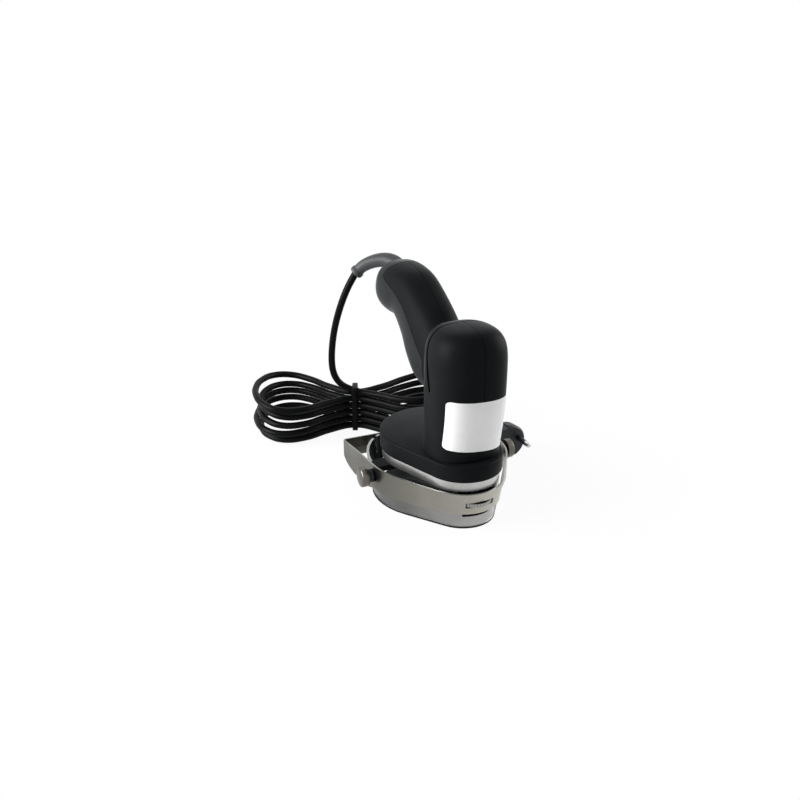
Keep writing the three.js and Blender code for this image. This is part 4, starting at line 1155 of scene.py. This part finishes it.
# %% Bright rim under the lid
rim_bottom = 33.6
rim_height = 8.8
rim_edge = 0.8
rim_outline = head_outline(nose=29.8, wide=46.4, level=rim_bottom)
bright_rim = prism("bright_rim", rim_outline, Vector((0, 0, rim_height)))
use(bright_rim, "BEVEL", width=rim_edge * MM, segments=3, limit_method="ANGLE", angle_limit=radians(50))
room_outline = head_outline(nose=27.4, wide=44.2, level=rim_bottom - past_end)
carve(bright_rim, prism("rim_room", room_outline, Vector((0, 0, rim_height + 2 * past_end))))
paint(bright_rim, cast_metal)
smooth(bright_rim, angle=40)
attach(bright_rim, "machine")
print("bright rim:", len(bright_rim.data.polygons), "faces")

# %% [markdown]
# ## Pieces whose shape is right
# The strip, the shroud, the gear housing and the small turned parts already have the right shape in the
# CAD. A copy of each is merged, its flat facets are dissolved into larger faces, and it gets soft shading;
# the knobs, the trigger, the nut and the tie also get a fine bevel where an edge would catch the light.

# %% Finished copies of CAD pieces


def finished(node, body_name, edge):
    """A merged copy of a CAD node with soft shading, which stands for the node."""
    piece = copy_of(nodes[node], node + "_finished")
    only(piece)
    bpy.ops.mesh.customdata_custom_splitnormals_clear()
    bpy.ops.object.mode_set(mode="EDIT")
    bpy.ops.mesh.select_all(action="SELECT")
    bpy.ops.mesh.remove_doubles(threshold=2e-6)
    bpy.ops.mesh.dissolve_limited(angle_limit=radians(0.4))
    bpy.ops.object.mode_set(mode="OBJECT")
    if edge:
        use(piece, "BEVEL", width=edge * MM, segments=2, limit_method="ANGLE", angle_limit=radians(40))
    smooth(piece)
    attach(piece, body_name)
    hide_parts(node)
    return piece


dressed = {}
for node, body_name, edge in (
    ("gear_housing", "machine", 0),
    ("blade_shroud", "machine", 0),
    ("guard_frame", "guard", 0),
    ("pivot_knob_left", "machine", 0.3),
    ("pivot_knob_right", "machine", 0.3),
    ("thumb_wheel", "wheel", 0),
    ("trigger", "trigger_body", 0.5),
    ("blade", "blade_rotor", 0),
    ("blade_nut", "blade_rotor", 0.2),
    ("blade_spindle", "blade_rotor", 0),
    ("plug_body", "machine", 0),
    ("plug_pin_1", "machine", 0),
    ("plug_pin_2", "machine", 0),
    ("cord_tie", "machine", 0.3),
):
    dressed[node] = finished(node, body_name, edge)
    print(dressed[node].name, len(dressed[node].data.polygons), "faces")

# %% [markdown]
# The rim of the shroud is trimmed to one straight line on each side, and the slit at the nose is opened a
# little on its lower side. Both cuts are prisms, taken out with a Boolean.

# %% Rim and slit of the shroud
shroud = dressed["blade_shroud"]
trim_half = 80
over_rim = [(54.5, 32), (110, 34.7), (110, 45), (54.5, 45)]
carve(shroud, prism("over_rim", side_outline(over_rim, -trim_half), Vector((0, 2 * trim_half, 0))))
slit_half = 12
slit_level = 12.4
slit_low = slit_level - 2.1
slit_top = slit_level + 1
slit_corners = [(-40, slit_low), (-18, slit_low), (-18, slit_top), (-40, slit_top)]
carve(shroud, prism("slit", side_outline(slit_corners, -slit_half), Vector((0, 2 * slit_half, 0))))
smooth(shroud)
print("shroud:", len(shroud.data.polygons), "faces")

# %% [markdown]
# The shroud's thin wall runs on a little at both sides of its open front. Each end is a loft of
# four-cornered sections that follow the wall's own lean and flare, and its lower corner reaches further
# than its upper one.

# %% Ends of the shroud's wall
shroud_wide = 54.5
shroud_wall = 2.2
flare_run = 10
lean_run = 6
end_low = 13.2
end_top = 33.5
low_start = 39
low_sweep = 12
top_start = 37.5
top_sweep = 4.5
end_steps = 8


def wall_point(degrees, level, side, inset):
    """A point on the shroud's wall at an angle round the blade, a height and a depth in the wall."""
    reach = shroud_wide + level / flare_run - inset
    middle = axis_distance + level / lean_run
    angle = radians(degrees)
    return Vector((middle + reach * cos(angle), side * reach * sin(angle), level))


wall_ends = []
for side, label in ((1, "left"), (-1, "right")):
    rings = []
    for step in range(end_steps + 1):
        low_angle = low_start - low_sweep * step / end_steps
        top_angle = top_start - top_sweep * step / end_steps
        inner_low = wall_point(low_angle, end_low, side, shroud_wall)
        outer_low = wall_point(low_angle, end_low, side, 0)
        outer_top = wall_point(top_angle, end_top, side, 0)
        inner_top = wall_point(top_angle, end_top, side, shroud_wall)
        rings.append([inner_low, outer_low, outer_top, inner_top])
    end = loft("shroud_end_" + label, rings)
    paint(end, shroud_metal)
    smooth(end)
    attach(end, "machine")
    wall_ends.append(end)
print("ends of the wall:", [end.name for end in wall_ends])

# %% [markdown]
# ## A second finish on some faces
# Steel isn't the same all over: the rims of the knobs are browner than their turned ends, and the lowest band
# of the shroud's foot is dark. Painted shade darkens the inside of the shroud with its slit and lugs, the
# gear housing under the lid, the top of the blade, the flat faces of the thumb wheel and the necks of the
# knobs, and the top edges of the strip and of the shroud's front get a painted highlight. Faces are picked by
# where they lie and which way they look.

# %% Second finishes
slit_reach = 2.4
lug_low = 20
lug_high = 35
lug_half = 52
foot_top = 1.39
edge_level = 26
front_from = 60
knob_neck = 60
knob_step = 65.5
knob_face = 65.9


def second_finish(piece, material, wanted):
    """Faces that pass a test of their middle, in millimetres, and their normal get another finish."""
    piece.data.materials.append(material)
    slot = len(piece.data.materials) - 1
    count = 0
    for face in piece.data.polygons:
        if wanted(face.center / MM, face.normal):
            face.material_index = slot
            count += 1
    print(piece.name, "faces in", material.name + ":", count)


def looks_in(centre, normal):
    """True where the shroud gets painted shade, on its faces that look inside it, its slit and its lugs, and
    on the lowest band of its rolled foot, which is dark.
    """
    x = min(max(centre.x, 0), axis_distance)
    inward = normal.x * (centre.x - x) + normal.y * centre.y
    flat = abs(normal.z) > 0.7
    in_slit = flat and abs(centre.z - slit_level) < slit_reach
    on_lug = flat and lug_low < centre.z < lug_high and abs(centre.y) < lug_half
    in_foot = centre.z < foot_top and normal.z > -0.5
    return inward < -0.1 or in_slit or on_lug or in_foot


def top_edge(centre, normal):
    """True on faces that look up, high on the piece."""
    return normal.z > 0.6 and centre.z > edge_level


# Painted shade on the hollows of the shroud and its wall ends, with their dark foot, and a painted highlight
# along their front top edge.
for shell in (shroud, *wall_ends):
    second_finish(shell, painted_shade_and_dark_foot, looks_in)
    second_finish(shell, rim_steel, lambda centre, normal: top_edge(centre, normal) and centre.x > front_from)
# The top edge of the strip gets a painted highlight in rim steel.
second_finish(dressed["guard_frame"], rim_steel, top_edge)
# The whole gear housing gets painted shade, so that the gap under the lid stays dark.
second_finish(dressed["gear_housing"], painted_shade_and_dark_foot, lambda centre, normal: True)
# Painted shade on the top of the blade and on the flat faces of the thumb wheel.
second_finish(dressed["blade"], painted_shade_metal, lambda centre, normal: normal.z > 0.2)
second_finish(dressed["thumb_wheel"], painted_shade_metal, lambda centre, normal: abs(normal.z) > 0.7)
# The knobs' rims are browner, and their necks get painted shade.
for knob in (dressed["pivot_knob_left"], dressed["pivot_knob_right"]):
    second_finish(knob, knob_rim, lambda centre, normal: abs(normal.y) < 0.3 and abs(centre.y) > knob_step)
    second_finish(knob, painted_shade_metal, lambda centre, normal: knob_neck < abs(centre.y) < knob_face)

# %% [markdown]
# The plug's pins have dark sleeves, and only their tips are bare metal. Bisect puts a ring of edges round
# each pin where its sleeve ends, so that the two finishes meet in a clean line.

# %% Sleeves of the plug's pins
bare_tip = 6.5
for pin in (dressed["plug_pin_1"], dressed["plug_pin_2"]):
    sleeve_end = min(vertex.co.x for vertex in pin.data.vertices) + bare_tip * MM
    only(pin)
    bpy.ops.object.mode_set(mode="EDIT")
    bpy.ops.mesh.select_all(action="SELECT")
    bpy.ops.mesh.bisect(plane_co=(sleeve_end, 0, 0), plane_no=(1, 0, 0))
    bpy.ops.object.mode_set(mode="OBJECT")
    second_finish(pin, plug_rubber, lambda centre, normal: centre.x * MM > sleeve_end)
print("sleeves end at", round(sleeve_end / MM, 1), "mm along x")

# %% [markdown]
# ## Rubber boot
# Where the lead leaves the grip, a bent rubber boot keeps it from kinking. It tapers along the bend and
# ends in a thicker collar. A lofted skin along the same route gives both.

# %% Boot
boot = loft("boot", boot_rings(extra=0, steps=44, count=28))
paint(boot, boot_rubber)
smooth(boot, angle=35)
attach(boot, "machine")
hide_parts("strain_relief")
print("boot:", len(boot.data.polygons), "faces")

# %% [markdown]
# ## White plate
# A thin white plate is stuck on the nose of the column. A flat grid is bent onto the column's own curve by
# setting each point at the depth that the section has there, its corners are rounded, and Solidify gives it
# a thickness.

# %% Depth of the nose


def column_row(level):
    """The column's nose, back and half width at a height above its base."""
    rows = smooth_rows(column_rows, 24)
    for low, high in zip(rows, rows[1:]):
        if low[0] <= level <= high[0]:
            share = (level - low[0]) / (high[0] - low[0])
            return [a + (b - a) * share for a, b in zip(low, high)]
    return rows[-1]


def nose_depth(y, z):
    """Where the column's nose is, along x, at a place across and a height."""
    _, nose, back, half = column_row(z - column_base)
    reach = (1 - min(1, abs(y) / half) ** column_power) ** (1 / column_power)
    return (back - nose) / 2 - (nose + back) / 2 * reach


print("depth of the nose at its base:", nose_depth(0, column_base))

# %% White plate
plate_half = 26
plate_rise = 21
plate_corner = 3.2
plate_low = 66
plate_high = 108.6
low_slope = 0.096
high_slope = 0.037
plate_gap = 0.08
plate_thick = 0.2
bpy.ops.object.select_all(action="DESELECT")
bpy.ops.mesh.primitive_grid_add(x_subdivisions=56, y_subdivisions=40, size=2)
white_plate = bpy.context.object
white_plate.name = "white_plate"
for vertex in white_plate.data.vertices:
    across = vertex.co.x * plate_half
    up = vertex.co.y * plate_rise
    over_x = abs(across) - (plate_half - plate_corner)
    over_z = abs(up) - (plate_rise - plate_corner)
    if over_x > 0 and over_z > 0:
        pull = max(over_x, over_z) / sqrt(over_x * over_x + over_z * over_z)
        across = copysign(plate_half - plate_corner + over_x * pull, across)
        up = copysign(plate_rise - plate_corner + over_z * pull, up)
    low = plate_low + across * low_slope
    high = plate_high + across * high_slope
    z = low + (high - low) * (up / plate_rise + 1) / 2
    vertex.co = Vector((nose_depth(across, z) - plate_gap, across, z)) * MM
outward(white_plate)
use(white_plate, "SOLIDIFY", thickness=plate_thick * MM, offset=0)
paint(white_plate, plate_white)
smooth(white_plate, angle=40)
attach(white_plate, "machine")
print("white plate:", [round(side / MM, 1) for side in white_plate.dimensions])

# %% [markdown]
# ## The lead, and the end
# The lead gets its finish and rides with the machine, and it stands for the CAD solids of its lead, hank and
# tail, which are hidden.

# %% Finish the lead
paint(mains_lead, cord_rubber)
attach(mains_lead, "machine")
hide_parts("cord_lead", "cord_hank", "cord_tail")
